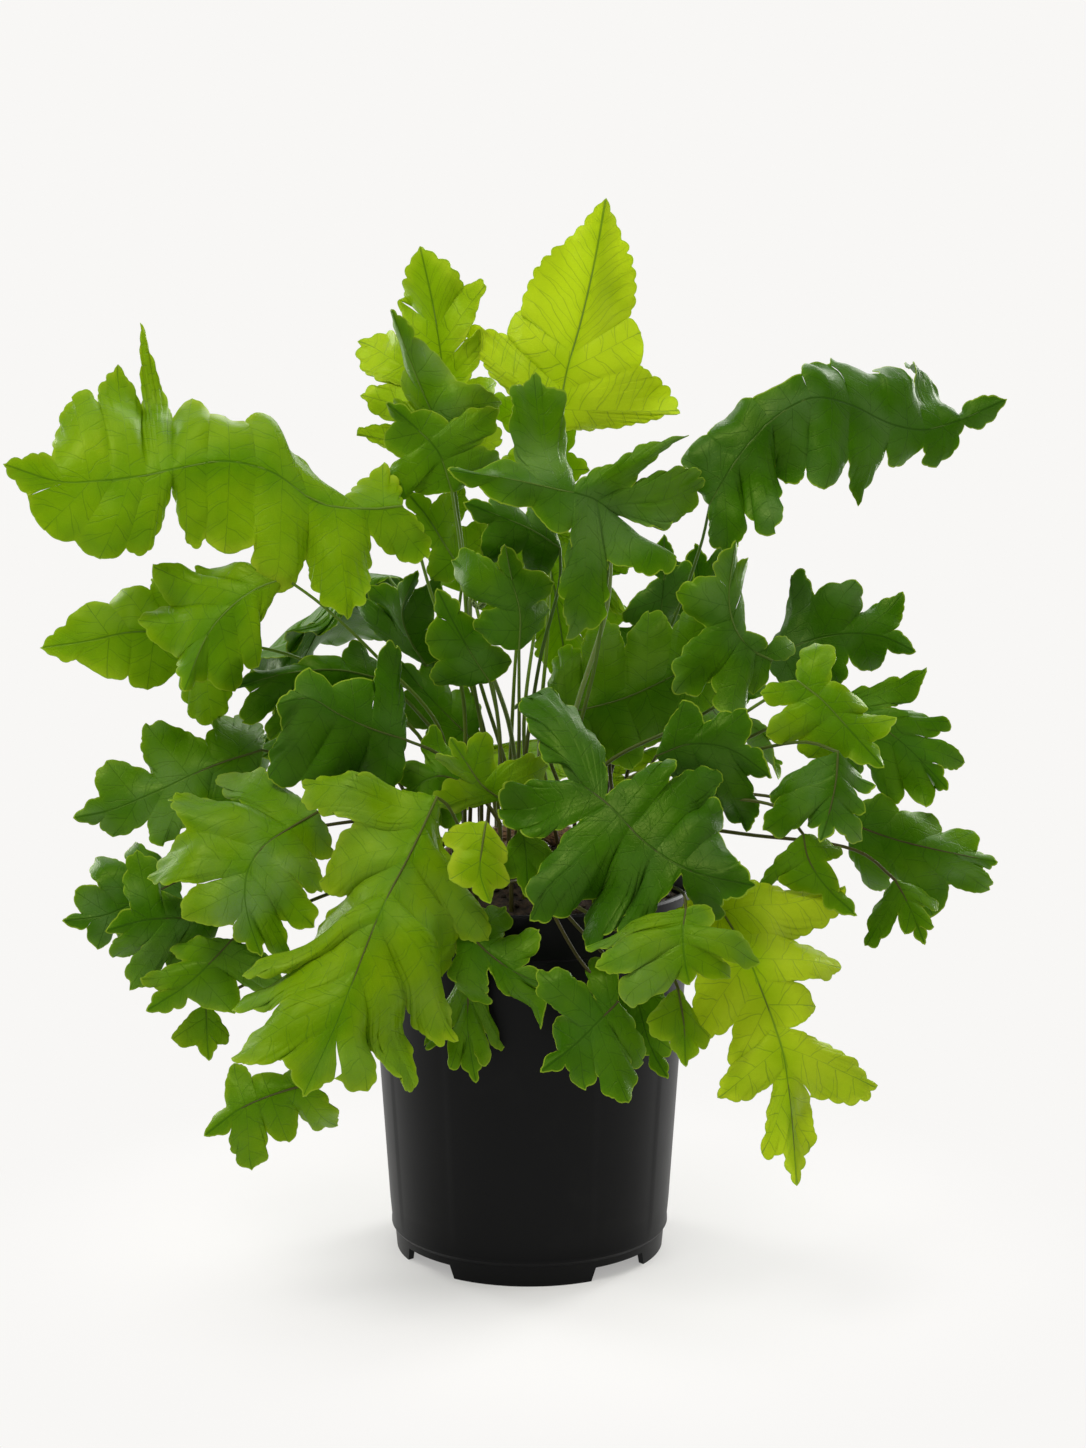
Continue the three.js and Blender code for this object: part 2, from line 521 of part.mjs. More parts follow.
function polygon(radius, sides) {
  const corners = [];
  for (let i = 0; i < sides; i += 1) {
    const angle = (2 * Math.PI * i) / sides;
    corners.push(new THREE.Vector2(radius * Math.cos(angle), radius * Math.sin(angle)));
  }
  return new THREE.Shape(corners);
}

// A path that is straight between its points and is walked a point at a time
class Way extends THREE.Curve {
  constructor(points) {
    super();
    this.points = points;
  }

  getPoint(share) {
    const place = share * (this.points.length - 1);
    const i = Math.min(Math.floor(place), this.points.length - 2);
    return this.points[i].clone().lerp(this.points[i + 1], place - i);
  }

  getPointAt(share) {
    return this.getPoint(share);
  }

  getTangentAt(share) {
    return this.getTangent(share);
  }
}

function tube(points, radius, sides) {
  const options = { extrudePath: new Way(points), steps: points.length - 1 };
  return toSolid(new THREE.ExtrudeGeometry(polygon(radius, sides), options));
}

function smooth(points) {
  return new THREE.CatmullRomCurve3(points, false, 'centripetal');
}

function upright(radius, sides, [x, y], bottom, top) {
  const column = new THREE.CylinderGeometry(radius, radius, top - bottom, sides);
  column.rotateX(Math.PI / 2);
  column.translate(x, y, (bottom + top) / 2);
  return toSolid(column);
}

function soilHeight(x, y) {
  const r = Math.hypot(x, y) / BODY_TOP_RADIUS;
  const lumps = Math.sin(0.21 * x + 1) * Math.cos(0.17 * y) + 0.6 * Math.sin(0.34 * y + 0.29 * x);
  return SOIL_EDGE_HEIGHT + SOIL_CROWN * Math.max(0, 1 - r * r) + SOIL_LUMP * lumps;
}

// Radius of the pot's outer wall at a height between the ridge and the rim
function bodyRadius(z) {
  const share = (z - RIDGE_HEIGHT) / (POT_HEIGHT - RIM_HEIGHT - RIDGE_HEIGHT);
  return RIDGE_RADIUS + (BODY_TOP_RADIUS - RIDGE_RADIUS) * share;
}

function makePot() {
  const rimUnder = POT_HEIGHT - RIM_HEIGHT;
  const floorTop = FLOOR_HEIGHT + FLOOR_THICKNESS;
  const profile = [
    [0, FLOOR_HEIGHT], [FOOT_RADIUS - FOOT_WALL, FLOOR_HEIGHT], [FOOT_RADIUS - FOOT_WALL, 0],
    [FOOT_RADIUS, 0], [FOOT_RADIUS + 1, RIDGE_HEIGHT - 2.5], [RIDGE_RADIUS, RIDGE_HEIGHT],
    [BODY_TOP_RADIUS, rimUnder], [RIM_RADIUS, rimUnder + 1.5], [RIM_RADIUS, POT_HEIGHT - 1],
    [RIM_RADIUS - 1, POT_HEIGHT], [RIM_RADIUS - RIM_LIP, POT_HEIGHT], [BODY_TOP_RADIUS - WALL, rimUnder],
    [RIDGE_RADIUS - WALL - 0.6, floorTop], [0, floorTop],
  ];
  let pot = toSolid(turned(profile, POT_SEGMENTS));
  for (const angle of NOTCH_ANGLES) {
    pot = pot.subtract(notch(angle));
  }
  for (let i = 0; i < DRAIN_COUNT; i += 1) {
    const angle = radians(NOTCH_ANGLES[0] + 45 + (360 * i) / DRAIN_COUNT);
    const centre = [DRAIN_CIRCLE * Math.cos(angle), DRAIN_CIRCLE * Math.sin(angle)];
    pot = pot.subtract(upright(DRAIN_RADIUS, 8, centre, FLOOR_HEIGHT - 2, floorTop + 2));
  }
  return part('pot', pot, 0x1b1c1e, 0.45);
}

// A notch between two feet, its sides sloping in as it rises; 0 degrees is the pot's front
function notch(degrees) {
  const half = (FOOT_RADIUS + FOOT_WALL) * Math.tan(radians(NOTCH_WIDTH / 2));
  const shape = new THREE.Shape([
    new THREE.Vector2(-half, -1), new THREE.Vector2(half, -1),
    new THREE.Vector2(half - NOTCH_SLOPE, NOTCH_HEIGHT), new THREE.Vector2(NOTCH_SLOPE - half, NOTCH_HEIGHT),
  ]);
  const block = new THREE.ExtrudeGeometry(shape, { depth: NOTCH_DEPTH, bevelEnabled: false });
  block.rotateX(Math.PI / 2);
  block.translate(0, FOOT_WALL + NOTCH_DEPTH / 2 - FOOT_RADIUS, 0);
  block.rotateZ(radians(degrees));
  return toSolid(block);
}

function rhizomePath(points) {
  return points.map(([x, y, lift]) => new THREE.Vector3(x, y, soilHeight(x, y) + RHIZOME_LIFT + lift));
}

// The rhizome's own height where it carries a stipe's root, or null beside it
function rhizomeHeight([x, y]) {
  for (const points of RHIZOMES) {
    const path = rhizomePath(points);
    for (let i = 0; i < path.length - 1; i += 1) {
      const start = path[i].clone().setZ(0);
      const along = path[i + 1].clone().setZ(0).sub(start);
      const share = new THREE.Vector3(x, y, 0).sub(start).dot(along) / along.lengthSq();
      const beside = start.clone().addScaledVector(along, share);
      if (share >= 0 && share <= 1 && beside.distanceTo(new THREE.Vector3(x, y, 0)) < RHIZOME_RADIUS / 2) {
        return path[i].z + (path[i + 1].z - path[i].z) * share;
      }
    }
  }
  return null;
}

// Where a stipe's foot and the ground round it are, in height
function rootHeights(root) {
  const carried = rhizomeHeight(root);
  const ground = carried === null ? soilHeight(...root) : carried + RHIZOME_RADIUS;
  const foot = carried === null ? ground - ROOT_DEPTH : carried - RHIZOME_RADIUS / 2;
  return { carried: carried !== null, ground, foot };
}

// The plain holes of all the stipes that stand in the soil, or of all those that stand in the rhizome
function rootHoles(roots, carried) {
  const holes = roots.filter((root) => rootHeights(root).carried === carried).map((root) => {
    const { ground, foot } = rootHeights(root);
    return upright(HOLE_RADIUS, HOLE_SIDES, root, foot - GAP, ground + 4);
  });
  return holes.reduce((all, hole) => all.add(hole));
}

function rhizomeBody(radius) {
  const pieces = RHIZOMES.map((points) => tube(rhizomePath(points), radius, RHIZOME_SIDES));
  return pieces.reduce((all, piece) => all.add(piece));
}

function makeRhizome(roots) {
  return part('rhizome', rhizomeBody(RHIZOME_RADIUS).subtract(rootHoles(roots, true)), 0x6b4a23, 0.9);
}

function makeSoil(roots) {
  const inner = FLOOR_HEIGHT + FLOOR_THICKNESS + GAP;
  const lowRadius = RIDGE_RADIUS - WALL - 1.6;
  const topRadius = bodyRadius(SOIL_EDGE_HEIGHT) - WALL - 1.6;
  const profile = [
    [0, inner], [lowRadius, inner], [topRadius, SOIL_EDGE_HEIGHT], [0.8 * topRadius, SOIL_EDGE_HEIGHT],
    [0.55 * topRadius, SOIL_EDGE_HEIGHT], [0.28 * topRadius, SOIL_EDGE_HEIGHT], [0, SOIL_EDGE_HEIGHT],
  ];
  const geometry = turned(profile, SOIL_SEGMENTS);
  const position = geometry.attributes.position;
  for (let i = 0; i < position.count; i += 1) {
    if (position.getZ(i) > SOIL_EDGE_HEIGHT - 1) {
      position.setZ(i, soilHeight(position.getX(i), position.getY(i)));
    }
  }
  const bed = rhizomeBody(RHIZOME_RADIUS + GAP);
  return part('soil', toSolid(geometry).subtract(rootHoles(roots, false)).subtract(bed), 0x2b211a, 1);
}

// Vertices and faces of a thin sheet, with coinciding points shared
class Sheet {
  constructor() {
    this.points = [];
    this.ribs = [];
    this.faces = [];
    this.known = new Map();
  }

  vertex(point, onRib = false) {
    const key = [point.x, point.y, point.z].map((v) => v.toFixed(3)).join();
    if (!this.known.has(key)) {
      this.known.set(key, this.points.length);
      this.points.push(point.clone());
      this.ribs.push(onRib);
    }
    return this.known.get(key);
  }

  face(a, b, c, flip) {
    if (a !== b && b !== c && c !== a) {
      this.faces.push(flip ? [a, c, b] : [a, b, c]);
    }
  }

  // The sheet's two faces and its rim, as one closed geometry
  thickened() {
    const normals = this.points.map(() => new THREE.Vector3());
    const edges = new Map();
    for (const face of this.faces) {
      const [a, b, c] = face.map((i) => this.points[i]);
      const normal = b.clone().sub(a).cross(c.clone().sub(a));
      for (let k = 0; k < 3; k += 1) {
        const from = face[k];
        const to = face[(k + 1) % 3];
        normals[from].add(normal);
        edges.set(`${from},${to}`, [from, to]);
      }
    }
    const count = this.points.length;
    const positions = [];
    for (const side of [1, -1]) {
      this.points.forEach((point, i) => {
        const thickness = this.ribs[i] ? RIB_THICKNESS : BLADE_THICKNESS;
        const place = point.clone().addScaledVector(normals[i].normalize(), (side * thickness) / 2);
        positions.push(place.x, place.y, place.z);
      });
    }
    const index = [];
    for (const [a, b, c] of this.faces) {
      index.push(a, b, c, count + a, count + c, count + b);
    }
    for (const [from, to] of edges.values()) {
      if (!edges.has(`${to},${from}`)) {
        index.push(to, from, count + from, to, count + from, count + to);
      }
    }
    const geometry = new THREE.BufferGeometry();
    geometry.setAttribute('position', new THREE.Float32BufferAttribute(positions, 3));
    geometry.setIndex(index);
    return geometry;
  }
}

// How wide a margin has to swell at its shoulders, beyond the span between its notches
function shoulderSwell(width, half) {
  const shoulder = Math.sqrt(1 / 3);
  return Math.max(0, (width - shoulder * half) / (shoulder * (2 / 3)));
}

// A point on a lobe's margin, from the notch before it at -1 over the tip at 0 to the notch after it at 1.
// width is the lobe's half width at its shoulders.
function marginPoint({ before, tip, after, width, slim }, across) {
  const middle = before.clone().add(after).multiplyScalar(0.5);
  const half = after.clone().sub(before).multiplyScalar(0.5);
  const out = tip.clone().sub(middle);
  const axis = out.clone().normalize();
  const aside = half.clone().addScaledVector(axis, -half.dot(axis)).normalize();
  const swell = shoulderSwell(width, half.length()) * across * (1 - across * across);
  return middle
    .addScaledVector(out, 1 - Math.abs(across) ** (LOBE_ROUNDNESS * slim))
    .addScaledVector(half, across)
    .addScaledVector(aside, swell);
}

// The margin of one half of the end lobe, from the last notch at 0 to the frond's tip at 1
function endMarginPoint(rachis, from, notchPoint, fraction) {
  const base = rachis.getPoint(from);
  const along = rachis.getPoint(from + (1 - from) * fraction);
  const axis = rachis.getPoint(1).sub(base);
  const length = axis.length();
  axis.normalize();
  const out = notchPoint.clone().sub(base);
  const aside = out.clone().addScaledVector(axis, -out.dot(axis)).normalize();
  const width = Math.max(0, END_WIDTH * length - 0.4 * out.length());
  return along
    .addScaledVector(out, 1 - fraction)
    .addScaledVector(aside, width * Math.sin(Math.PI * fraction ** 0.8));
}

// The blade from the rachis between two shares out to one lobe's margin, folded about the lobe's middle
function lobePatch(sheet, rachis, from, to, lobe, flip) {
  const start = rachis.getPoint(from);
  const end = rachis.getPoint(to);
  const middle = rachis.getPoint((from + to) / 2);
  const out = lobe.tip.clone().sub(middle);
  const normal = end.clone().sub(start).cross(out).normalize();
  const arch = (flip ? -1 : 1) * LOBE_ARCH * out.length();
  const centre = sheet.vertex(middle.clone().lerp(lobe.tip, LOBE_MIDDLE).addScaledVector(normal, arch));
  const border = [sheet.vertex(start, true), sheet.vertex(lobe.before)];
  for (let i = 1; i < LOBE_STEPS; i += 1) {
    border.push(sheet.vertex(marginPoint(lobe, (2 * i) / LOBE_STEPS - 1)));
  }
  border.push(sheet.vertex(lobe.after), sheet.vertex(end, true));
  border.forEach((point, i) => {
    sheet.face(point, centre, border[(i + 1) % border.length], flip);
  });
}

function endPatch(sheet, rachis, from, notchPoint, flip) {
  const low = [];
  const high = [];
  for (let i = 0; i <= END_STEPS; i += 1) {
    const fraction = i / END_STEPS;
    low.push(sheet.vertex(rachis.getPoint(from + (1 - from) * fraction), true));
    high.push(sheet.vertex(endMarginPoint(rachis, from, notchPoint, fraction)));
  }
  for (let i = 0; i < END_STEPS; i += 1) {
    sheet.face(low[i], low[i + 1], high[i], flip);
    sheet.face(high[i], low[i + 1], high[i + 1], flip);
  }
}

// The blade of a frond whose rachis and lobes are in millimetres
function blade(shape) {
  const rachis = smooth(shape.rachis);
  const sheet = new Sheet();
  for (const [side, flip] of [[shape.left, false], [shape.right, true]]) {
    const count = side.length;
    side.forEach((lobe, i) => {
      lobePatch(sheet, rachis, (shape.end * i) / count, (shape.end * (i + 1)) / count, lobe, flip);
    });
    endPatch(sheet, rachis, shape.end, side[count - 1].after, flip);
  }
  return toSolid(sheet.thickened());
}

// One side's lobes with their notches, from tips, cuts and how slim each lobe is
function sideLobes(rachis, end, tips, cuts, slims = []) {
  const count = tips.length;
  let before = rachis.getPoint(0);
  return tips.map((tip, i) => {
    const next = i + 1 < count ? tips[i + 1] : rachis.getPoint(1);
    const root = rachis.getPoint((end * (i + 1)) / count);
    const between = tip.clone().add(next).multiplyScalar(0.5);
    const after = cuts[i].isVector3 ? cuts[i] : root.lerp(between, cuts[i]);
    const middle = before.clone().add(after).multiplyScalar(0.5);
    const spaces = [next, ...(i > 0 ? [tips[i - 1]] : [])].map((other) => LOBE_SPACING * other.distanceTo(tip));
    const slim = slims[i] ?? 1;
    const width = slim * Math.min(LOBE_SLENDERNESS * tip.distanceTo(middle), ...spaces);
    const lobe = { before, tip, after, width, slim };
    before = after;
    return lobe;
  });
}

function frondShape(frond) {
  const rachisPoints = frond.rachis.map(viewPoint);
  const rachis = smooth(rachisPoints);
  const { lean, droop = LOBE_DROOP, wave = LOBE_WAVE } = frond;
  const side = (lobes) => {
    const end = frond.end ?? lobes.length / (lobes.length + 1);
    const cut = (i) => lobes[i][3] ?? frond.cut;
    // The place of a point beside the rachis, on the blade's leaning and drooping surface
    const place = ([across, down], share, added) => {
      const beside = rachis.getPoint(end * share);
      const flat = viewPoint([across, down, beside.y]);
      const reach = flat.distanceTo(beside);
      return viewPoint([across, down, beside.y + lean * (flat.z - beside.z) + droop * reach + added(reach)]);
    };
    const tips = lobes.map(([across, down, added = 0], i) => {
      const share = (i + 0.5) / lobes.length;
      const pleat = (i % 2 ? -wave : wave) * (Array.isArray(cut(i)) ? 0.3 : 1 - cut(i));
      return place([across, down], share, (reach) => added + pleat * reach);
    });
    const cuts = lobes.map((_, i) => (
      Array.isArray(cut(i)) ? place(cut(i), (i + 1) / lobes.length, () => 0) : cut(i)
    ));
    return sideLobes(rachis, end, tips, cuts, lobes.map((lobe) => lobe[4]));
  };
  return {
    name: frond.name,
    colour: frond.colour,
    root: frond.root,
    end: frond.end ?? frond.left.length / (frond.left.length + 1),
    stipe: frond.stipe.map(viewPoint),
    rachis: rachisPoints,
    left: side(frond.left),
    right: side(frond.right),
  };
}

// A small repeatable random number from 0 to 1 for a whole number
function chance(seed) {
  const value = Math.sin(seed * 127.1 + 311.7) * 43758.5453;
  return value - Math.floor(value);
}

// A frond of the far side: it rises from its root, arches outwards and droops to its tip.
function farFrondShape(frond, order) {
  const direction = new THREE.Vector3(Math.cos(radians(frond.azimuth)), Math.sin(radians(frond.azimuth)), 0);
  const aside = new THREE.Vector3(-direction.y, direction.x, 0);
  const { ground } = rootHeights(frond.root);
  const start = new THREE.Vector3(...frond.root, ground + STIPE_UPRIGHT);
  const tip = direction.clone().multiplyScalar(frond.reach).setZ(ground + 0.45 * frond.rise);
  const arch = (share) => {
    const lift = frond.rise * Math.sin(Math.PI * Math.min(1, share ** 0.75)) * 0.85;
    return start.clone().lerp(tip, share).add(new THREE.Vector3(0, 0, lift));
  };
  const rachisPoints = [0.38, 0.5, 0.63, 0.8, 1].map(arch);
  const rachis = smooth(rachisPoints);
  const end = frond.lobes / (frond.lobes + 1);
  const side = (sign) => {
    const tips = [];
    for (let i = 0; i < frond.lobes; i += 1) {
      const share = (i + 0.5) / frond.lobes;
      const wander = chance(order * 17 + i * 5 + 2 * sign) - 0.5;
      const size = frond.width * (0.75 + 0.35 * Math.sin(Math.PI * share)) * (1 + 0.3 * wander);
      const beside = rachis.getPoint(end * share);
      const forward = rachis.getPoint(Math.min(1, end * share + 0.1)).sub(beside).normalize();
      tips.push(beside
        .addScaledVector(aside, sign * size)
        .addScaledVector(forward, size * (0.35 * share - 0.05))
        .add(new THREE.Vector3(0, 0, (i % 2 ? -0.5 : -0.22) * size)));
    }
    return sideLobes(rachis, end, tips, tips.map((_, i) => 0.4 + 0.25 * chance(order * 13 + i * 7)));
  };
  return {
    name: frond.name,
    colour: order % 3 === 1 ? YOUNG : MATURE,
    root: frond.root,
    end,
    stipe: [arch(0.12), arch(0.25)],
    rachis: rachisPoints,
    left: side(1),
    right: side(-1),
  };
}

// Points along a stipe: straight up out of its root, then smooth through the given points
function stipeWay(root, points) {
  const { ground, foot } = rootHeights(root);
  const [x, y] = root;
  const top = new THREE.Vector3(x, y, ground + STIPE_UPRIGHT);
  const curve = smooth([top, ...points]);
  const steps = Math.max(2, Math.round(curve.getLength() / STIPE_STEP));
  return [new THREE.Vector3(x, y, foot), ...curve.getSpacedPoints(steps)];
}

function makeFrond(shape) {
  const rachis = smooth(shape.rachis);
  const base = rachis.getPoint(0);
  const way = stipeWay(shape.root, [...shape.stipe, base]);
  const arrival = base.clone().sub(way[way.length - 2]).normalize();
  const inwards = arrival.add(rachis.getTangent(0)).normalize();
  const stipe = tube([...way, base.addScaledVector(inwards, STIPE_OVERLAP)], STIPE_RADIUS, STIPE_SIDES);
  return part(shape.name, stipe.add(blade(shape)), shape.colour, 0.5);
}

function makeCrozier(crozier) {
  const way = stipeWay(crozier.root, crozier.stipe.map(viewPoint));
  const top = way[way.length - 1];
  const roll = [];
  const turns = 1.4;
  const steps = 12;
  for (let i = 0; i <= steps; i += 1) {
    const angle = Math.PI - (2 * Math.PI * turns * i) / steps;
    const radius = crozier.head * (1 - (0.5 * i) / steps);
    roll.push(new THREE.Vector3(
      top.x + crozier.head + radius * Math.cos(angle),
      top.y - 0.7 * i,
      top.z + 8 + radius * Math.sin(angle),
    ));
  }
  return part(crozier.name, tube([...way, ...roll], STIPE_RADIUS - 0.2, STIPE_SIDES), YOUNG, 0.6);
}

const shapes = [...FRONDS.map(frondShape), ...FAR_FRONDS.map(farFrondShape)];
const roots = [...shapes, ...CROZIERS].map(({ root }) => root);

const fern = new THREE.Group();
fern.add(makePot());
fern.add(makeSoil(roots));
fern.add(makeRhizome(roots));
for (const shape of shapes) {
  fern.add(makeFrond(shape));
}
for (const crozier of CROZIERS) {
  fern.add(makeCrozier(crozier));
}

export default fern;
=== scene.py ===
"""Potted davana fern: its fronds, croziers, rhizomes, soil and pot, in metres round the frame."""
import sys
import itertools
import logging
import math
import random
from collections.abc import Callable, Iterable, Mapping, Sequence
from dataclasses import dataclass, field
from enum import Enum

import bmesh
import bpy
from mathutils import Matrix, Vector, noise


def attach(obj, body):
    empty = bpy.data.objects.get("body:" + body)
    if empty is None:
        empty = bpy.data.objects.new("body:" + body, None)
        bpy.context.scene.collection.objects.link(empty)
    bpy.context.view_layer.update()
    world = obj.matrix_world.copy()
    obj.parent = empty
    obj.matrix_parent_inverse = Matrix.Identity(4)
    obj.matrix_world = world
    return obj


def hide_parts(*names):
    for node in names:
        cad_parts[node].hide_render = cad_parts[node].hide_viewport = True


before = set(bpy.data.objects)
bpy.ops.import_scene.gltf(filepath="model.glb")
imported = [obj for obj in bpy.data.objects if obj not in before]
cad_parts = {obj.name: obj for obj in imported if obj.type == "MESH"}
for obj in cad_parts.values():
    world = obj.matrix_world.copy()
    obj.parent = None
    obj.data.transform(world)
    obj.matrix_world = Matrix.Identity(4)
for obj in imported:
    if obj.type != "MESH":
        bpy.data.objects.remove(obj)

LOG = logging.getLogger("davana_fern")
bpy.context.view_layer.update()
MM = 0.001
CM = 0.01
UP = Vector((0.0, 0.0, 1.0))
MERGE = 0.01 * MM
CREASE = math.radians(50)

Colour = tuple[float, float, float]
Triple = tuple[float, float, float]


class Side(Enum):
    """The side of a frond's rachis that a lobe grows on."""

    LEFT = "left"
    RIGHT = "right"


@dataclass(frozen=True)
class ViewPoint:
    """The view that the fronds' places were read in: millimetres, and pixels of its frame."""

    offset: float = 6.6
    distance: float = 1200.0
    height: float = 430.7
    pitch: float = math.radians(8.28)
    scale: float = 2538.3
    centre: tuple[float, float] = (543.0, 724.0)
    frame_height: float = 1448.0
    film: float = 36.0
    near_clip: float = 0.05

    def place(self, across: float, down: float, depth: float) -> Vector:
        """Find the real place of a point of the view.

        Args:
            across: The point's pixels from the frame's left edge.
            down: The point's pixels from the frame's top edge.
            depth: Millimetres behind the pot's axis.

        Returns:
            The place in metres.
        """
        sideways = (across - self.centre[0]) / self.scale
        upwards = (self.centre[1] - down) / self.scale
        forward = math.cos(self.pitch) + upwards * math.sin(self.pitch)
        rise = -math.sin(self.pitch) + upwards * math.cos(self.pitch)
        reach = (depth + self.distance) / forward
        return Vector((self.offset + sideways * reach, depth, self.height + rise * reach)) * MM

    def camera(self) -> bpy.types.Object:
        """Make the camera of this view.

        Returns:
            The camera object.
        """
        data = bpy.data.cameras.new("view")
        data.sensor_width = self.film
        data.lens = self.scale * self.film / self.frame_height
        data.clip_start = self.near_clip
        camera = bpy.data.objects.new("view", data)
        camera.location = Vector((self.offset, -self.distance, self.height)) * MM
        camera.rotation_euler = (math.pi / 2 - self.pitch, 0.0, 0.0)
        bpy.context.scene.collection.objects.link(camera)
        return camera


VIEW = ViewPoint()


def chance(seed: float) -> float:
    """Draw a small repeatable random number from 0 to 1 for a number."""
    value = math.sin(seed * 127.1 + 311.7) * 43758.5453
    return value - math.floor(value)


def smooth_step(value: float, low: float, high: float) -> float:
    """Rise smoothly from 0 at low to 1 at high."""
    share = min(1.0, max(0.0, (value - low) / (high - low)))
    return share * share * (3 - 2 * share)


def mixed(start: float, end: float, share: float) -> float:
    """Find the number that lies a share of the way from start to end."""
    return start + (end - start) * share


class SmoothPath:
    """A smooth path through given points, with its speed fitted to the distances between them."""

    FINE = 12

    def __init__(self, points: Sequence[Vector]) -> None:
        """Keep the points and one more past each end."""
        first = 2 * points[0] - points[1]
        last = 2 * points[-1] - points[-2]
        self.points = [first, *points, last]
        self.spans = len(points) - 1

    def at(self, share: float) -> Vector:
        """Find the point at a share of the path's spans, from 0 to 1."""
        place = min(max(share, 0.0), 1.0) * self.spans
        index = min(int(place), self.spans - 1)
        x0, x1, x2, x3 = self.points[index:index + 4]
        step = place - index
        d0, d1, d2 = (max((b - a).length, 1e-9) ** 0.5 for a, b in ((x0, x1), (x1, x2), (x2, x3)))
        t1 = ((x1 - x0) / d0 - (x2 - x0) / (d0 + d1) + (x2 - x1) / d1) * d1
        t2 = ((x2 - x1) / d1 - (x3 - x1) / (d1 + d2) + (x3 - x2) / d2) * d1
        square = step * step
        return (x1 + t1 * step + (-3 * x1 + 3 * x2 - 2 * t1 - t2) * square
                + (2 * x1 - 2 * x2 + t1 + t2) * square * step)

    def spaced(self, steps: int) -> list[Vector]:
        """Find points at equal distances along the path.

        Args:
            steps: How many equal steps the path is cut into.

        Returns:
            The points, one more than the steps.
        """
        count = self.FINE * self.spans
        fine = [self.at(i / count) for i in range(count + 1)]
        lengths = [0.0]
        for a, b in zip(fine, fine[1:]):
            lengths.append(lengths[-1] + (b - a).length)
        places = []
        index = 0
        for step in range(steps + 1):
            wanted = lengths[-1] * step / steps
            while index < len(fine) - 2 and lengths[index + 1] < wanted:
                index += 1
            span = max(lengths[index + 1] - lengths[index], 1e-9)
            share = min(1.0, (wanted - lengths[index]) / span)
            places.append(fine[index].lerp(fine[index + 1], share))
        return places


def upright_ring(direction: Vector) -> Matrix:
    """Find the turn that stands a ring square to a direction."""
    return direction.to_track_quat("Z", "Y").to_matrix().to_4x4()


def sweep(bm: bmesh.types.BMesh, path: Sequence[Vector], radii: Sequence[float],
          sides: int) -> list[bmesh.types.BMFace]:
    """Draw a round stalk along a path, closed at both ends.

    Args:
        bm: The mesh to draw in.
        path: The stalk's points.
        radii: Its radius at each point.
        sides: How many sides it has.

    Returns:
        The faces that were made.
    """
    known = set(bm.faces)
    ring = bmesh.ops.create_circle(bm, cap_ends=True, segments=sides, radius=1.0)["verts"]
    edges = list({edge for vert in ring for edge in vert.link_edges})
    turn = upright_ring(path[1] - path[0])
    here = Matrix.Translation(path[0]) @ turn @ Matrix.Scale(radii[0], 4)
    bmesh.ops.transform(bm, matrix=here, verts=ring)
    for i in range(1, len(path)):
        ahead = path[min(i + 1, len(path) - 1)] - path[i - 1]
        swing = (turn @ UP).rotation_difference(ahead.normalized())
        turn = swing.to_matrix().to_4x4() @ turn
        there = Matrix.Translation(path[i]) @ turn @ Matrix.Scale(radii[i], 4)
        grown = bmesh.ops.extrude_edge_only(bm, edges=edges)["geom"]
        ring = [item for item in grown if isinstance(item, bmesh.types.BMVert)]
        edges = [item for item in grown if isinstance(item, bmesh.types.BMEdge)]
        bmesh.ops.transform(bm, matrix=there @ here.inverted(), verts=ring)
        here = there
    bmesh.ops.edgeloop_fill(bm, edges=edges)
    return [face for face in bm.faces if face not in known]


def spin_section(section: Iterable[Vector], steps: int) -> bmesh.types.BMesh:
    """Spin a section once round the upright axis.

    Args:
        section: The section's points, in metres.
        steps: How many steps the turn has.

    Returns:
        The mesh, its faces outwards.
    """
    bm = bmesh.new()
    line = [bm.verts.new(point) for point in section]
    edges = [bm.edges.new(pair) for pair in zip(line, line[1:])]
    bmesh.ops.spin(bm, geom=[*line, *edges], cent=(0, 0, 0), axis=(0, 0, 1), dvec=(0, 0, 0),
                   angle=2 * math.pi, steps=steps, use_merge=True)
    bmesh.ops.remove_doubles(bm, verts=bm.verts[:], dist=MERGE)
    bmesh.ops.recalc_face_normals(bm, faces=bm.faces[:])
    return bm


def shade_smooth(bm: bmesh.types.BMesh, crease: float) -> None:
    """Shade a mesh smooth, with the edges that fold by more than the crease left sharp."""
    for face in bm.faces:
        face.smooth = True
    for edge in bm.edges:
        edge.smooth = len(edge.link_faces) == 2 and edge.calc_face_angle(0.0) < crease


def link_mesh(bm: bmesh.types.BMesh, name: str) -> bpy.types.Object:
    """Turn a mesh, which is freed, into an object of the scene, at the origin."""
    mesh = bpy.data.meshes.new(name)
    bm.to_mesh(mesh)
    bm.free()
    piece = bpy.data.objects.new(name, mesh)
    bpy.context.scene.collection.objects.link(piece)
    return piece


def finish_mesh(bm: bmesh.types.BMesh, name: str, crease: float = CREASE) -> bpy.types.Object:
    """Turn a finished mesh into an object that rides on the plant's one body.

    Args:
        bm: The mesh, which is freed.
        name: The object's name.
        crease: Edges that fold by more than this stay sharp.

    Returns:
        The object, at the origin.
    """
    shade_smooth(bm, crease)
    piece = link_mesh(bm, name)
    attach(piece, "root")
    return piece


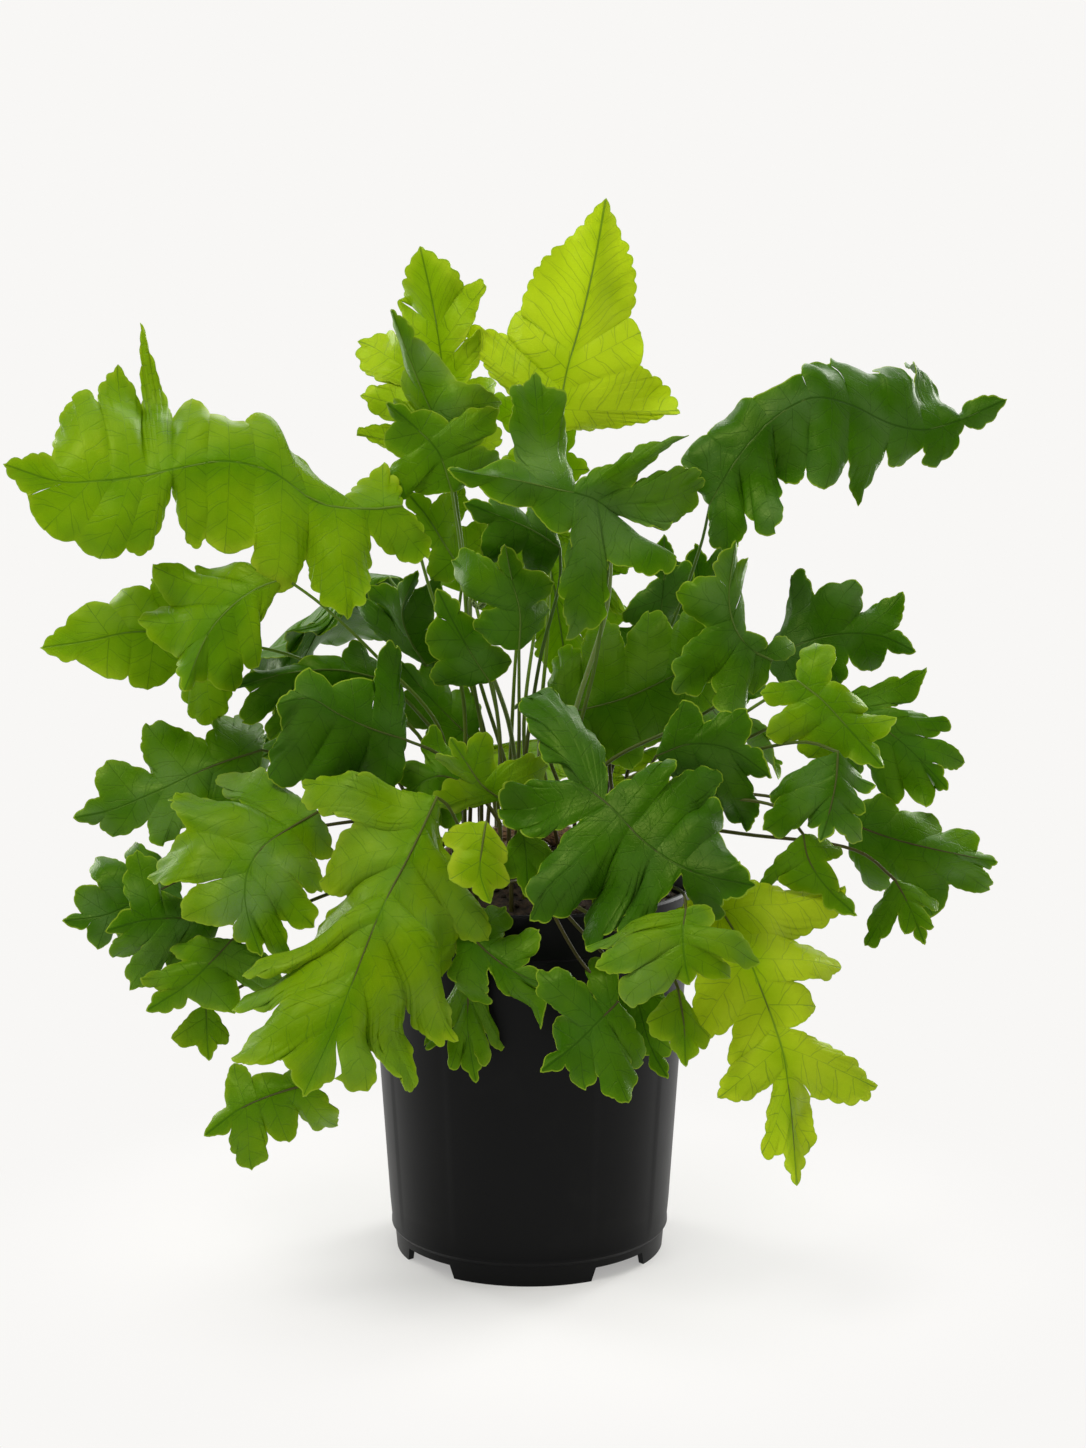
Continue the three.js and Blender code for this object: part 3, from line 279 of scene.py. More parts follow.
class Value:
    """A shader socket that does sums: each sum adds the node it needs."""

    def __init__(self, graph: "Graph", socket: bpy.types.NodeSocket) -> None:
        """Wrap an output socket of a graph."""
        self.graph = graph
        self.socket = socket

    def _sum(self, operation: str, *others: "Number", clamp: bool = False) -> "Value":
        """Add a Math node that works on this value and others."""
        return self.graph.math(operation, self, *others, clamp=clamp)

    def __add__(self, other: "Number") -> "Value":
        """Add."""
        return self._sum("ADD", other)

    def __sub__(self, other: "Number") -> "Value":
        """Subtract."""
        return self._sum("SUBTRACT", other)

    def __rsub__(self, other: "Number") -> "Value":
        """Subtract this value from a number."""
        return self.graph.math("SUBTRACT", other, self)

    def __mul__(self, other: "Number") -> "Value":
        """Multiply."""
        return self._sum("MULTIPLY", other)

    def __truediv__(self, other: "Number") -> "Value":
        """Divide."""
        return self._sum("DIVIDE", other)

    def __rtruediv__(self, other: "Number") -> "Value":
        """Divide a number by this value."""
        return self.graph.math("DIVIDE", other, self)

    __radd__ = __add__
    __rmul__ = __mul__

    def __abs__(self) -> "Value":
        """Drop the sign."""
        return self._sum("ABSOLUTE")

    def fraction(self) -> "Value":
        """Keep what lies past the whole number."""
        return self._sum("FRACT")

    def highest(self, other: "Number") -> "Value":
        """Take the larger of two values."""
        return self._sum("MAXIMUM", other)

    def clamped(self) -> "Value":
        """Keep the value from 0 to 1."""
        return self._sum("ADD", 0.0, clamp=True)

    def rise(self, low: "Number", high: "Number") -> "Value":
        """Rise smoothly from 0 at low to 1 at high, or fall where high is below low."""
        node = self.graph.node("ShaderNodeMapRange", {"interpolation_type": "SMOOTHSTEP"},
                               {"Value": self, "From Min": low, "From Max": high})
        return Value(self.graph, node.outputs["Result"])


Number = float | Value
Input = float | Value | Sequence[float] | bpy.types.NodeSocket


class Graph:
    """A material's shader graph under construction."""

    def __init__(self, name: str) -> None:
        """Start an empty material of a name."""
        self.material = bpy.data.materials.new(name)
        self.material.use_nodes = True
        self.tree = self.material.node_tree
        self.tree.nodes.clear()

    def node(self, kind: str, settings: Mapping[str, object] | None = None,
             inputs: Mapping[str | int, Input] | None = None) -> bpy.types.ShaderNode:
        """Add a node.

        Args:
            kind: The node's type.
            settings: Its own settings, with a colour ramp's stops under "stops".
            inputs: The values or links of its sockets, by name, identifier or number.

        Returns:
            The node.
        """
        node = self.tree.nodes.new(kind)
        for key, value in (settings or {}).items():
            if key == "stops":
                self._set_stops(node, value)
            else:
                setattr(node, key, value)
        for key, value in (inputs or {}).items():
            socket = self._input(node, key)
            if isinstance(value, Value):
                self.tree.links.new(value.socket, socket)
            elif isinstance(value, bpy.types.NodeSocket):
                self.tree.links.new(value, socket)
            elif isinstance(value, Sequence) and socket.type == "RGBA":
                socket.default_value = (*value, 1.0)
            else:
                socket.default_value = value
        return node

    @staticmethod
    def _set_stops(node: bpy.types.ShaderNode, stops: Iterable[tuple[float, Colour]]) -> None:
        """Give a colour ramp its stops."""
        elements = node.color_ramp.elements
        for i, (position, colour) in enumerate(stops):
            element = elements[i] if i < len(elements) else elements.new(position)
            element.position = position
            element.color = (*colour, 1.0)

    @staticmethod
    def _input(node: bpy.types.ShaderNode, key: str | int) -> bpy.types.NodeSocket:
        """Find a node's input by its number, identifier or name."""
        if isinstance(key, int):
            return node.inputs[key]
        return next((s for s in node.inputs if s.identifier == key), None) or node.inputs[key]

    def math(self, operation: str, *values: Number, clamp: bool = False) -> Value:
        """Add a Math node."""
        settings = {"operation": operation, "use_clamp": clamp}
        node = self.node("ShaderNodeMath", settings, dict(enumerate(values)))
        return Value(self, node.outputs[0])

    def blend(self, share: Number, first: Input, second: Input,
              how: str = "MIX") -> bpy.types.NodeSocket:
        """Mix two colours."""
        node = self.node("ShaderNodeMix", {"data_type": "RGBA", "blend_type": how},
                         {"Factor_Float": share, "A_Color": first, "B_Color": second})
        return next(output for output in node.outputs if output.identifier == "Result_Color")

    def ramp(self, share: Number, stops: Iterable[tuple[float, Colour]]) -> bpy.types.NodeSocket:
        """Colour a value by a ramp."""
        return self.node("ShaderNodeValToRGB", {"stops": stops}, {"Fac": share}).outputs["Color"]

    def place(self) -> bpy.types.NodeSocket:
        """Find the place on the piece, in metres."""
        return self.node("ShaderNodeTexCoord").outputs["Object"]

    def speckle(self, place: Input, size: float, detail: float = 2.0, rough: float = 0.5) -> Value:
        """Make soft noise from 0 to 1 whose spots are about a size wide, in metres."""
        inputs = {"Vector": place, "Scale": 1.0 / size, "Detail": detail, "Roughness": rough}
        return Value(self, self.node("ShaderNodeTexNoise", None, inputs).outputs[0])

    def split(self, vector: Input) -> tuple[Value, Value, Value]:
        """Take a vector's three numbers apart."""
        outputs = self.node("ShaderNodeSeparateXYZ", None, {"Vector": vector}).outputs
        return Value(self, outputs["X"]), Value(self, outputs["Y"]), Value(self, outputs["Z"])

    def parts(self, name: str) -> tuple[Value, Value]:
        """Read the two numbers of one of the piece's own maps."""
        return self.split(self.node("ShaderNodeUVMap", {"uv_map": name}).outputs["UV"])[:2]

    def bump(self, height: Number, strength: float, distance: float) -> bpy.types.NodeSocket:
        """Turn a height into a normal."""
        inputs = {"Height": height, "Strength": strength, "Distance": distance}
        return self.node("ShaderNodeBump", None, inputs).outputs["Normal"]

    def surface(self, inputs: Mapping[str, Input]) -> bpy.types.NodeSocket:
        """Add the surface's main shader."""
        return self.node("ShaderNodeBsdfPrincipled", None, inputs).outputs["BSDF"]

    def mix(self, share: Number, first: bpy.types.NodeSocket,
            second: bpy.types.NodeSocket) -> bpy.types.NodeSocket:
        """Mix two shaders."""
        return self.node("ShaderNodeMixShader", None, {0: share, 1: first, 2: second}).outputs[0]

    def finish(self, shader: bpy.types.NodeSocket) -> bpy.types.Material:
        """Join the shader to the output and give back the material."""
        self.node("ShaderNodeOutputMaterial", None, {"Surface": shader})
        return self.material


@dataclass(frozen=True)
class Ground:
    """The soil's crown and the rhizomes on it, in millimetres, as the stipes' roots need them."""

    edge_height: float = 166.0
    crown: float = 28.0
    lump: float = 1.4
    mouth_radius: float = 77.0
    root_depth: float = 12.0
    stipe_upright: float = 14.0
    rhizome_radius: float = 6.5
    rhizome_lift: float = 5.0
    rhizomes: tuple[tuple[Triple, ...], ...] = (
        ((-58, -6, -4), (-28, 0, 0), (2, 4, 2), (32, 0, 0), (58, 8, -4)),
        ((2, 4, 2), (-8, -20, 0), (-26, -46, -4)),
        ((32, 0, 0), (26, -24, 0), (14, -51, -4)),
        ((2, 4, 2), (-6, 28, 0), (-20, 50, -4)),
    )

    def soil_height(self, x: float, y: float) -> float:
        """Find the height of the soil's crown at a place in plan."""
        share = math.hypot(x, y) / self.mouth_radius
        lumps = math.sin(0.21 * x + 1) * math.cos(0.17 * y) + 0.6 * math.sin(0.34 * y + 0.29 * x)
        return self.edge_height + self.crown * max(0.0, 1 - share * share) + self.lump * lumps

    def rhizome_path(self, points: Sequence[Triple]) -> list[Vector]:
        """Lay a rhizome's points on the soil, in millimetres."""
        return [Vector((x, y, self.soil_height(x, y) + self.rhizome_lift + lift))
                for x, y, lift in points]

    def rhizome_height(self, x: float, y: float) -> float | None:
        """Find the middle of the rhizome that carries a root, or None beside the rhizomes."""
        spot = Vector((x, y))
        for points in self.rhizomes:
            path = self.rhizome_path(points)
            for first, last in zip(path, path[1:]):
                along = last.xy - first.xy
                share = (spot - first.xy).dot(along) / along.length_squared
                beside = first.xy + share * along
                if 0 <= share <= 1 and (beside - spot).length < self.rhizome_radius / 2:
                    return first.z + (last.z - first.z) * share
        return None

    def root(self, x: float, y: float) -> tuple[float, float]:
        """Find the heights of the ground at a root and of the root's foot."""
        carried = self.rhizome_height(x, y)
        if carried is None:
            ground = self.soil_height(x, y)
            return ground, ground - self.root_depth
        return carried + self.rhizome_radius, carried - self.rhizome_radius / 2


GROUND = Ground()


@dataclass(frozen=True)
class Form:
    """The proportions that all the blades share.

    A reach is a length from the rachis, a girth a lobe's half width, and a span a wave's length.
    """

    roundness: float = 2.6
    spacing: float = 0.4
    slenderness: float = 0.34
    arch: float = 0.05
    end_width: float = 0.28
    thickness: float = 0.45 * MM
    column: float = 1.3 * MM
    row: float = 3.6 * MM
    rows: tuple[int, int] = (3, 9)
    merge: float = 0.02 * MM
    smoothing: float = 0.35
    tooth_young: float = 7.0 * MM
    tooth_old: float = 8.0 * MM
    tooth_depth_young: float = 2.1 * MM
    tooth_depth_old: float = 1.05 * MM
    tooth_reach: float = 0.07
    tooth_girth: float = 0.2
    bay: float = 12.5 * MM
    bay_spread: tuple[float, float] = (0.8, 1.25)
    bay_depth: float = 3.0 * MM
    bay_reach: float = 0.09
    bay_girth: float = 0.3
    end_bay_reach: float = 0.04
    scallop_sharpness: float = 0.65
    scallop_middle: float = 0.62
    point: float = 0.1
    point_most: float = 4.5 * MM
    point_span: float = 0.3
    curl: float = 0.6
    curl_girth: float = 1.7
    curl_pace: float = 0.85
    droop: float = 0.04
    swell: float = 0.46
    swell_span: float = 55.0 * MM
    ruffle: float = 0.55
    ruffle_span: float = 21.0 * MM
    ruffle_reach: float = 22.0 * MM
    frill: float = 0.2
    frill_span: float = 8.0 * MM
    frill_reach: float = 10.0 * MM


FORM = Form()


@dataclass
class Lobe:
    """One lobe in metres: its notches, its tip and its half width at the shoulders."""

    before: Vector
    tip: Vector
    after: Vector
    width: float
    slim: float

    def margin(self, across: float) -> Vector:
        """Find a point of the margin, from the notch before at -1 to the one after at 1."""
        middle = (self.before + self.after) / 2
        half = (self.after - self.before) / 2
        out = self.tip - middle
        axis = out.normalized()
        aside = (half - axis * half.dot(axis)).normalized()
        shoulder = math.sqrt(1 / 3)
        swell = max(0.0, (self.width - shoulder * half.length) / (shoulder * 2 / 3))
        return (middle + out * (1 - abs(across) ** (FORM.roundness * self.slim)) + half * across
                + aside * swell * across * (1 - across * across))

    def pointed(self, across: float) -> Vector:
        """Find a point of the margin with its tip drawn out, from -1 to 1."""
        out = self.tip - (self.before + self.after) / 2
        length = min(FORM.point * out.length, FORM.point_most)
        near = max(0.0, 1 - abs(across) / FORM.point_span)
        return self.margin(across) + out.normalized() * length * near ** 2


@dataclass
class EndLobe:
    """One half of the lobe at a frond's tip."""

    rachis: SmoothPath
    start: float
    notch: Vector

    def rib(self, share: float) -> Vector:
        """Find a point of the rachis, from the last notch at 0 to the tip at 1."""
        return self.rachis.at(self.start + (1 - self.start) * share)

    def margin(self, share: float) -> Vector:
        """Find a point of the margin, from the last notch at 0 to the tip at 1."""
        base = self.rachis.at(self.start)
        reach = self.rachis.at(1.0) - base
        out = self.notch - base
        axis = reach.normalized()
        aside = (out - axis * out.dot(axis)).normalized()
        width = max(0.0, FORM.end_width * reach.length - 0.4 * out.length)
        belly = width * math.sin(math.pi * share ** 0.8)
        return self.rib(share) + out * (1 - share) + aside * belly


@dataclass
class Shape:
    """A frond's form in metres: its stipe, its rachis and its lobes on both sides."""

    stipe: list[Vector]
    rachis: SmoothPath
    end: float
    sides: dict[Side, list[Lobe]]


def side_lobes(rachis: SmoothPath, end: float, tips: Sequence[Vector],
               cuts: Sequence[float | Vector], slims: Sequence[float]) -> list[Lobe]:
    """Set the lobes of one side between their notches.

    Args:
        rachis: The frond's rachis.
        end: The share of the rachis before the end lobe.
        tips: The lobes' tips, base first.
        cuts: How far out each notch lies, or the notch itself.
        slims: How slim each lobe is, 1 for a full one.

    Returns:
        The lobes.
    """
    lobes = []
    before = rachis.at(0.0)
    for i, tip in enumerate(tips):
        ahead = tips[i + 1] if i + 1 < len(tips) else rachis.at(1.0)
        between = (tip + ahead) / 2
        root = rachis.at(end * (i + 1) / len(tips))
        after = cuts[i] if isinstance(cuts[i], Vector) else root.lerp(between, cuts[i])
        beside = [ahead] + ([tips[i - 1]] if i else [])
        width = slims[i] * min([FORM.slenderness * (tip - (before + after) / 2).length]
                               + [FORM.spacing * (other - tip).length for other in beside])
        lobes.append(Lobe(before, tip, after, width, slims[i]))
        before = after
    return lobes


@dataclass(frozen=True)
class Frond:
    """A frond as seen, with the points of its stipe and its rachis as (across, down, depth).

    A lobe is (across, down, added depth, cut, slim), where the cut is how far out the notch
    after it lies or the notch's own (across, down). Where they are left out, added is 0, cut is
    the frond's own and slim is 1. age runs from 0 for a young yellow-green frond to 1 for an old
    dark one.
    """

    name: str
    age: float
    root: tuple[float, float]
    stipe: tuple[Triple, ...]
    rachis: tuple[Triple, ...]
    left: tuple[tuple, ...]
    right: tuple[tuple, ...]
    lean: float = 0.3
    cut: float = 0.5
    droop: float = 0.28
    wave: float = 0.22
    end: float | None = None
    curl: float = 1.0
    # The blade's share of painted grey-blue sheen, a reflection painted into its colour.
    painted_sheen: float = 0.0

    def shape(self) -> Shape:
        """Work out the frond's real form."""
        rachis = SmoothPath([VIEW.place(*point) for point in self.rachis])
        end = self.end or len(self.left) / (len(self.left) + 1)
        return Shape(
            stipe=[VIEW.place(*point) for point in self.stipe],
            rachis=rachis,
            end=end,
            sides={Side.LEFT: self._side(rachis, end, self.left),
                   Side.RIGHT: self._side(rachis, end, self.right)},
        )

    def _side(self, rachis: SmoothPath, end: float, lobes: Sequence[tuple]) -> list[Lobe]:
        """Work out the lobes of one side."""
        tips: list[Vector] = []
        cuts: list[float | Vector] = []
        slims: list[float] = []
        for i, lobe in enumerate(lobes):
            defaults = (0.0, self.cut, 1.0)
            added, cut, slim = (*lobe[2:], *defaults[len(lobe) - 2:])
            placed = isinstance(cut, tuple)
            pleat = (-self.wave if i % 2 else self.wave) * (0.3 if placed else 1 - cut)
            middle = rachis.at(end * (i + 0.5) / len(lobes))
            after = rachis.at(end * (i + 1) / len(lobes))
            tips.append(self._place(lobe[:2], middle, added, pleat))
            cuts.append(self._place(cut, after, 0.0, 0.0) if placed else cut)
            slims.append(slim)
        return side_lobes(rachis, end, tips, cuts, slims)

    def _place(self, seen: tuple[float, float], beside: Vector, added: float,
               pleat: float) -> Vector:
        """Find a place beside the rachis, on the blade's leaning and drooping surface."""
        depth = beside.y / MM
        flat = VIEW.place(*seen, depth)
        reach = (flat - beside).length / MM
        rise = (flat.z - beside.z) / MM
        return VIEW.place(*seen, depth + self.lean * rise + (self.droop + pleat) * reach + added)


@dataclass(frozen=True)
class FarFrond:
    """A frond of the far side, in millimetres, that rises, arches out and droops to its tip."""

    name: str
    age: float
    azimuth: float
    root: tuple[float, float]
    reach: float
    rise: float
    width: float
    lobes: int
    order: int
    stipe_shares: tuple[float, ...] = (0.12, 0.25)
    rachis_shares: tuple[float, ...] = (0.38, 0.5, 0.63, 0.8, 1.0)
    tip_rise: float = 0.45
    arch_rise: float = 0.85
    arch_skew: float = 0.75
    curl: float = 1.0
    # The blade's share of painted grey-blue sheen, a reflection painted into its colour.
    painted_sheen: float = 0.0

    def shape(self) -> Shape:
        """Work out the frond's real form."""
        rachis = SmoothPath([self._arch(share) for share in self.rachis_shares])
        end = self.lobes / (self.lobes + 1)
        return Shape(
            stipe=[self._arch(share) for share in self.stipe_shares],
            rachis=rachis,
            end=end,
            sides={Side.LEFT: self._side(rachis, end, 1), Side.RIGHT: self._side(rachis, end, -1)},
        )

    def _direction(self) -> Vector:
        """Find the way that the frond grows, in plan."""
        angle = math.radians(self.azimuth)
        return Vector((math.cos(angle), math.sin(angle), 0.0))

    def _arch(self, share: float) -> Vector:
        """Find a point of the frond's arch from the ground to its tip."""
        ground, _ = GROUND.root(*self.root)
        start = Vector((*self.root, ground + GROUND.stipe_upright))
        tip = self._direction() * self.reach
        tip.z = ground + self.tip_rise * self.rise
        lift = self.arch_rise * self.rise * math.sin(math.pi * share ** self.arch_skew)
        return (start.lerp(tip, share) + UP * lift) * MM

    def _side(self, rachis: SmoothPath, end: float, sign: int) -> list[Lobe]:
        """Work out the lobes of one side, with small seeded differences."""
        aside = Vector((-self._direction().y, self._direction().x, 0.0))
        tips = []
        for i in range(self.lobes):
            share = (i + 0.5) / self.lobes
            wander = chance(self.order * 17 + i * 5 + 2 * sign) - 0.5
            size = self.width * (0.75 + 0.35 * math.sin(math.pi * share)) * (1 + 0.3 * wander) * MM
            beside = rachis.at(end * share)
            forward = (rachis.at(min(1.0, end * share + 0.1)) - beside).normalized()
            drop = UP * size * (-0.5 if i % 2 else -0.22)
            ahead = forward * size * (0.35 * share - 0.05)
            tips.append(beside + aside * sign * size + ahead + drop)
        cuts = [0.4 + 0.25 * chance(self.order * 13 + i * 7) for i in range(self.lobes)]
        return side_lobes(rachis, end, tips, cuts, [1.0] * self.lobes)


@dataclass
class MarginWalk:
    """A lobe's margin walked at an even pace, with its teeth and bays.

    The margin is a function of a place that runs from start over middle, at the tip, to end.
    """

    margin: Callable[[float], Vector]
    centre: Vector
    start: float
    middle: float
    end: float
    tooth: float
    depth: float
    bay: float
    bay_depth: float
    shift: float
    halves: list[list[tuple[float, float]]] = field(init=False)
    length: float = field(init=False)

    def __post_init__(self) -> None:
        """Measure the two halves of the margin."""
        self.halves = [self._measured(self.start, self.middle),
                       self._measured(self.middle, self.end)]
        self.length = sum(half[-1][0] for half in self.halves)

    def _measured(self, start: float, end: float, steps: int = 24) -> list[tuple[float, float]]:
        """List lengths and places along one half of the margin."""
        marks = [(0.0, start)]
        last = self.margin(start)
        for i in range(1, steps + 1):
            place = mixed(start, end, i / steps)
            point = self.margin(place)
            marks.append((marks[-1][0] + (point - last).length, place))
            last = point
        return marks

    def _along(self, half: list[tuple[float, float]], share: float) -> tuple[float, float]:
        """Find the length and the place at a share of one half's length."""
        wanted = half[-1][0] * share
        for (near, first), (far, last) in zip(half, half[1:]):
            if wanted <= far:
                step = (wanted - near) / max(far - near, 1e-9)
                return wanted, mixed(first, last, step)
        return half[-1]

    def at(self, share: float) -> Vector:
        """Find the toothed margin's point at a share from 0 to 1, its tip at a half.

        Args:
            share: The share of the lobe's columns.

        Returns:
            The point.
        """
        if share <= 0.5:
            walked, place = self._along(self.halves[0], share * 2)
        else:
            walked, place = self._along(self.halves[1], share * 2 - 1)
            walked += self.halves[0][-1][0]
        point = self.margin(place)
        nudge = 0.004 * (self.end - self.start)
        ahead = self.margin(min(place + nudge, self.end))
        along = ahead - self.margin(max(place - nudge, self.start))
        out = point - self.centre
        if along.length > 1e-7:
            along.normalize()
            out -= along * out.dot(along)
        if out.length < 1e-7:
            return point
        calm = 1 - abs(2 * share - 1) ** 6
        teeth = self.depth * self._scallop(walked / self.tooth + self.shift)
        bays = self.bay_depth * self._scallop(walked / self.bay + 3 * self.shift)
        return point + out.normalized() * calm * (teeth + bays)

    @staticmethod
    def _scallop(turns: float) -> float:
        """Find the height of a row of rounded scallops, with a sharp dip between them."""
        return abs(math.sin(math.pi * turns)) ** FORM.scallop_sharpness - FORM.scallop_middle


@dataclass
class Strip:
    """One lobe's blade: its ends on the rachis and the margin by column, and its middle vein."""

    ribs: list[Vector]
    edges: list[Vector]
    base: Vector
    axis: Vector
    reach: float
    width: float
    arch: Vector
    ending: bool


@dataclass
class BladeMaker:
    """Builds one frond: its toothed, ruffled blade and its stipe, which runs on as the rib."""

    frond: "Frond | FarFrond"
    seed: int
    stipe_radius: float = 0.95 * MM
    stipe_taper: tuple[float, float] = (1.1, 0.75)
    rib_taper: tuple[float, float] = (0.62, 0.16)
    stipe_sides: int = 8
    stipe_steps: int = 26
    rib_steps: int = 16
    end_vein: float = 3.0 * MM
    side_offset: int = 40
    up_span: int = 5
    viewer: Vector = field(default_factory=lambda: Vector((0.0, -0.45, 1.0)))

    def __post_init__(self) -> None:
        """Prepare the mesh, its notes and the maps that the finish reads."""
        self.shape = self.frond.shape()
        self.bm = bmesh.new()
        self.size_map = self.bm.loops.layers.uv.new("size")
        self.edge_map = self.bm.loops.layers.uv.new("edge")
        self.margin_place = self.bm.verts.layers.float.new("margin_place")
        self.outness = self.bm.verts.layers.float.new("outness")
        self.reach = self.bm.verts.layers.float.new("reach")
        self.girth = self.bm.verts.layers.float.new("girth")
        self.up = self.bm.verts.layers.float_vector.new("up")

    def build(self) -> bpy.types.Object:
        """Build the frond.

        Returns:
            The finished piece.
        """
        counts = self._columns()
        for side in self.shape.sides:
            for i, columns in enumerate(counts):
                self._lay(side, i, self._strip(side, i, columns))
        bmesh.ops.remove_doubles(self.bm, verts=self.bm.verts[:], dist=FORM.merge)
        bmesh.ops.recalc_face_normals(self.bm, faces=self.bm.faces[:])
        self._face_up()
        self._ruffle()
        inner = [vert for vert in self.bm.verts if not vert.is_boundary]
        bmesh.ops.smooth_vert(self.bm, verts=inner, factor=FORM.smoothing,
                              use_axis_x=True, use_axis_y=True, use_axis_z=True)
        self._thicken()
        self._stipe()
        return finish_mesh(self.bm, f"fern_{self.frond.name}")

    def _walk(self, side: Side, i: int) -> MarginWalk:
        """Prepare the margin of a lobe, or of the end lobe past the last one."""
        lobes = self.shape.sides[side]
        rachis = self.shape.rachis
        count = len(lobes)
        age = self.frond.age
        tooth = mixed(FORM.tooth_young, FORM.tooth_old, age)
        depth = mixed(FORM.tooth_depth_young, FORM.tooth_depth_old, age)
        bay = FORM.bay * mixed(*FORM.bay_spread, chance(self.seed * 3 + i))
        shift = chance(self.seed * 31 + i * 7 + (3 if side is Side.LEFT else 0))
        if i < count:
            middle = rachis.at(self.shape.end * (i + 0.5) / count)
            lobe = lobes[i]
            reach = (lobe.tip - middle).length
            depth = min(depth, FORM.tooth_reach * reach, FORM.tooth_girth * lobe.width)
            bay_depth = min(mixed(0.4 * FORM.bay_depth, FORM.bay_depth, age * 1.5),
                            FORM.bay_reach * reach, FORM.bay_girth * lobe.width)
            return MarginWalk(lobe.pointed, middle.lerp(lobe.tip, 0.4), -1.0, 0.0, 1.0,
                              tooth, depth, bay, bay_depth, shift)
        end_lobe = EndLobe(rachis, self.shape.end, lobes[-1].after)
        reach = (rachis.at(1.0) - rachis.at(self.shape.end)).length
        centre = rachis.at(mixed(self.shape.end, 1.0, 0.35))
        depth = min(depth, FORM.tooth_reach * reach)
        bay_depth = min(mixed(0.2 * FORM.bay_depth, FORM.bay_depth, age),
                        FORM.end_bay_reach * reach)
        return MarginWalk(end_lobe.margin, centre, 0.0, 0.5, 1.0,
                          tooth, depth, bay, bay_depth, shift)

    def _columns(self) -> list[int]:
        """Count the columns of each lobe, alike on both sides so that they meet at the rachis."""
        lobes = len(self.shape.sides[Side.LEFT])
        counts = []
        for i in range(lobes + 1):
            length = max(self._walk(side, i).length for side in Side)
            counts.append(2 * max(4, round(length / FORM.column / 2)))
        return counts

    def _strip(self, side: Side, i: int, columns: int) -> Strip:
        """Work out a lobe's blade, or the one at the frond's tip past the last lobe.

        Args:
            side: The side of the rachis.
            i: The lobe's number along it.
            columns: How many columns its margin is cut into.

        Returns:
            The blade.
        """
        lobes = self.shape.sides[side]
        rachis, end = self.shape.rachis, self.shape.end
        if i < len(lobes):
            start, stop = end * i / len(lobes), end * (i + 1) / len(lobes)
            base = rachis.at((start + stop) / 2)
            out = lobes[i].tip - base
            reach, width = out.length, lobes[i].width
            normal = (rachis.at(stop) - rachis.at(start)).cross(out).normalized()
            arch = normal * (FORM.arch * reach * (1 if side is Side.LEFT else -1))
        else:
            start, stop = end, 1.0
            base = rachis.at(end)
            out = rachis.at(1.0) - base
            tip = EndLobe(rachis, end, lobes[-1].after)
            reach = width = (tip.margin(0.4) - tip.rib(0.4)).length
            arch = Vector()
        walk = self._walk(side, i)
        shares = [column / columns for column in range(columns + 1)]
        return Strip(
            ribs=[rachis.at(mixed(start, stop, share)) for share in shares],
            edges=[walk.at(share) for share in shares],
            base=base,
            axis=out.normalized(),
            reach=reach,
            width=width,
            arch=arch,
            ending=i == len(lobes),
        )

    def _lay(self, side: Side, i: int, strip: Strip) -> None:
        """Bend a grid onto a lobe's blade and note where each of its corners lies."""
        columns = len(strip.ribs) - 1
        rows = max(FORM.rows[0], min(FORM.rows[1], round(strip.reach / FORM.row)))
        made = bmesh.ops.create_grid(self.bm, x_segments=columns, y_segments=rows,
                                     size=0.5)["verts"]
        spots = {vert: (vert.co.x + 0.5, vert.co.y + 0.5) for vert in made}
        ups = self._ups(strip, side)
        first = i + (self.side_offset if side is Side.LEFT else 0)
        for vert, (share, outward) in spots.items():
            column = round(share * columns)
            rib, edge = strip.ribs[column], strip.edges[column]
            dome = 16 * outward * (1 - outward) * share * (1 - share)
            vert.co = rib.lerp(edge, outward) + strip.arch * dome
            vert[self.margin_place] = first + share
            vert[self.outness] = outward
            vert[self.reach] = (edge - rib).length * outward
            vert[self.girth] = min(vert[self.reach], FORM.curl_girth * strip.width)
            vert[self.up] = ups[column]
        for face in {face for vert in made for face in vert.link_faces}:
            for loop in face.loops:
                share, _ = spots[loop.vert]
                self._note(loop, strip, round(share * columns), 1 if share > 0.5 else -1)

    def _note(self, loop: bmesh.types.BMLoop, strip: Strip, column: int, turn: int) -> None:
        """Note in the maps how far a corner lies from the veins and the margin."""
        place = loop.vert.co
        rib, edge = strip.ribs[column], strip.edges[column]
        rib_way = (place - rib).length
        if strip.ending:
            across, along = rib_way + self.end_vein, (rib - strip.base).length
        else:
            near = place - strip.base
            along = near.dot(strip.axis)
            across = (near - strip.axis * along).length * turn
        loop[self.size_map].uv = (across / CM, along / CM)
        loop[self.edge_map].uv = ((edge - place).length / CM, rib_way / CM)

    def _ups(self, strip: Strip, side: Side) -> list[Vector]:
        """Find the way up from the blade at each column, nearly alike for its neighbours."""
        turn = 1 if side is Side.LEFT else -1
        last = len(strip.ribs) - 1
        crosses = []
        for column, (rib, edge) in enumerate(zip(strip.ribs, strip.edges)):
            along = strip.ribs[min(column + 1, last)] - strip.ribs[max(column - 1, 0)]
            crosses.append(along.cross(edge - rib) * turn)
        span = self.up_span
        return [sum(crosses[max(0, column - span):column + span + 1], Vector()).normalized()
                for column in range(last + 1)]

    def _face_up(self) -> None:
        """Turn the blade's upper face upwards and to the front."""
        total = sum(face.normal.dot(self.viewer) * face.calc_area() for face in self.bm.faces)
        if total < 0:
            bmesh.ops.reverse_faces(self.bm, faces=self.bm.faces[:])

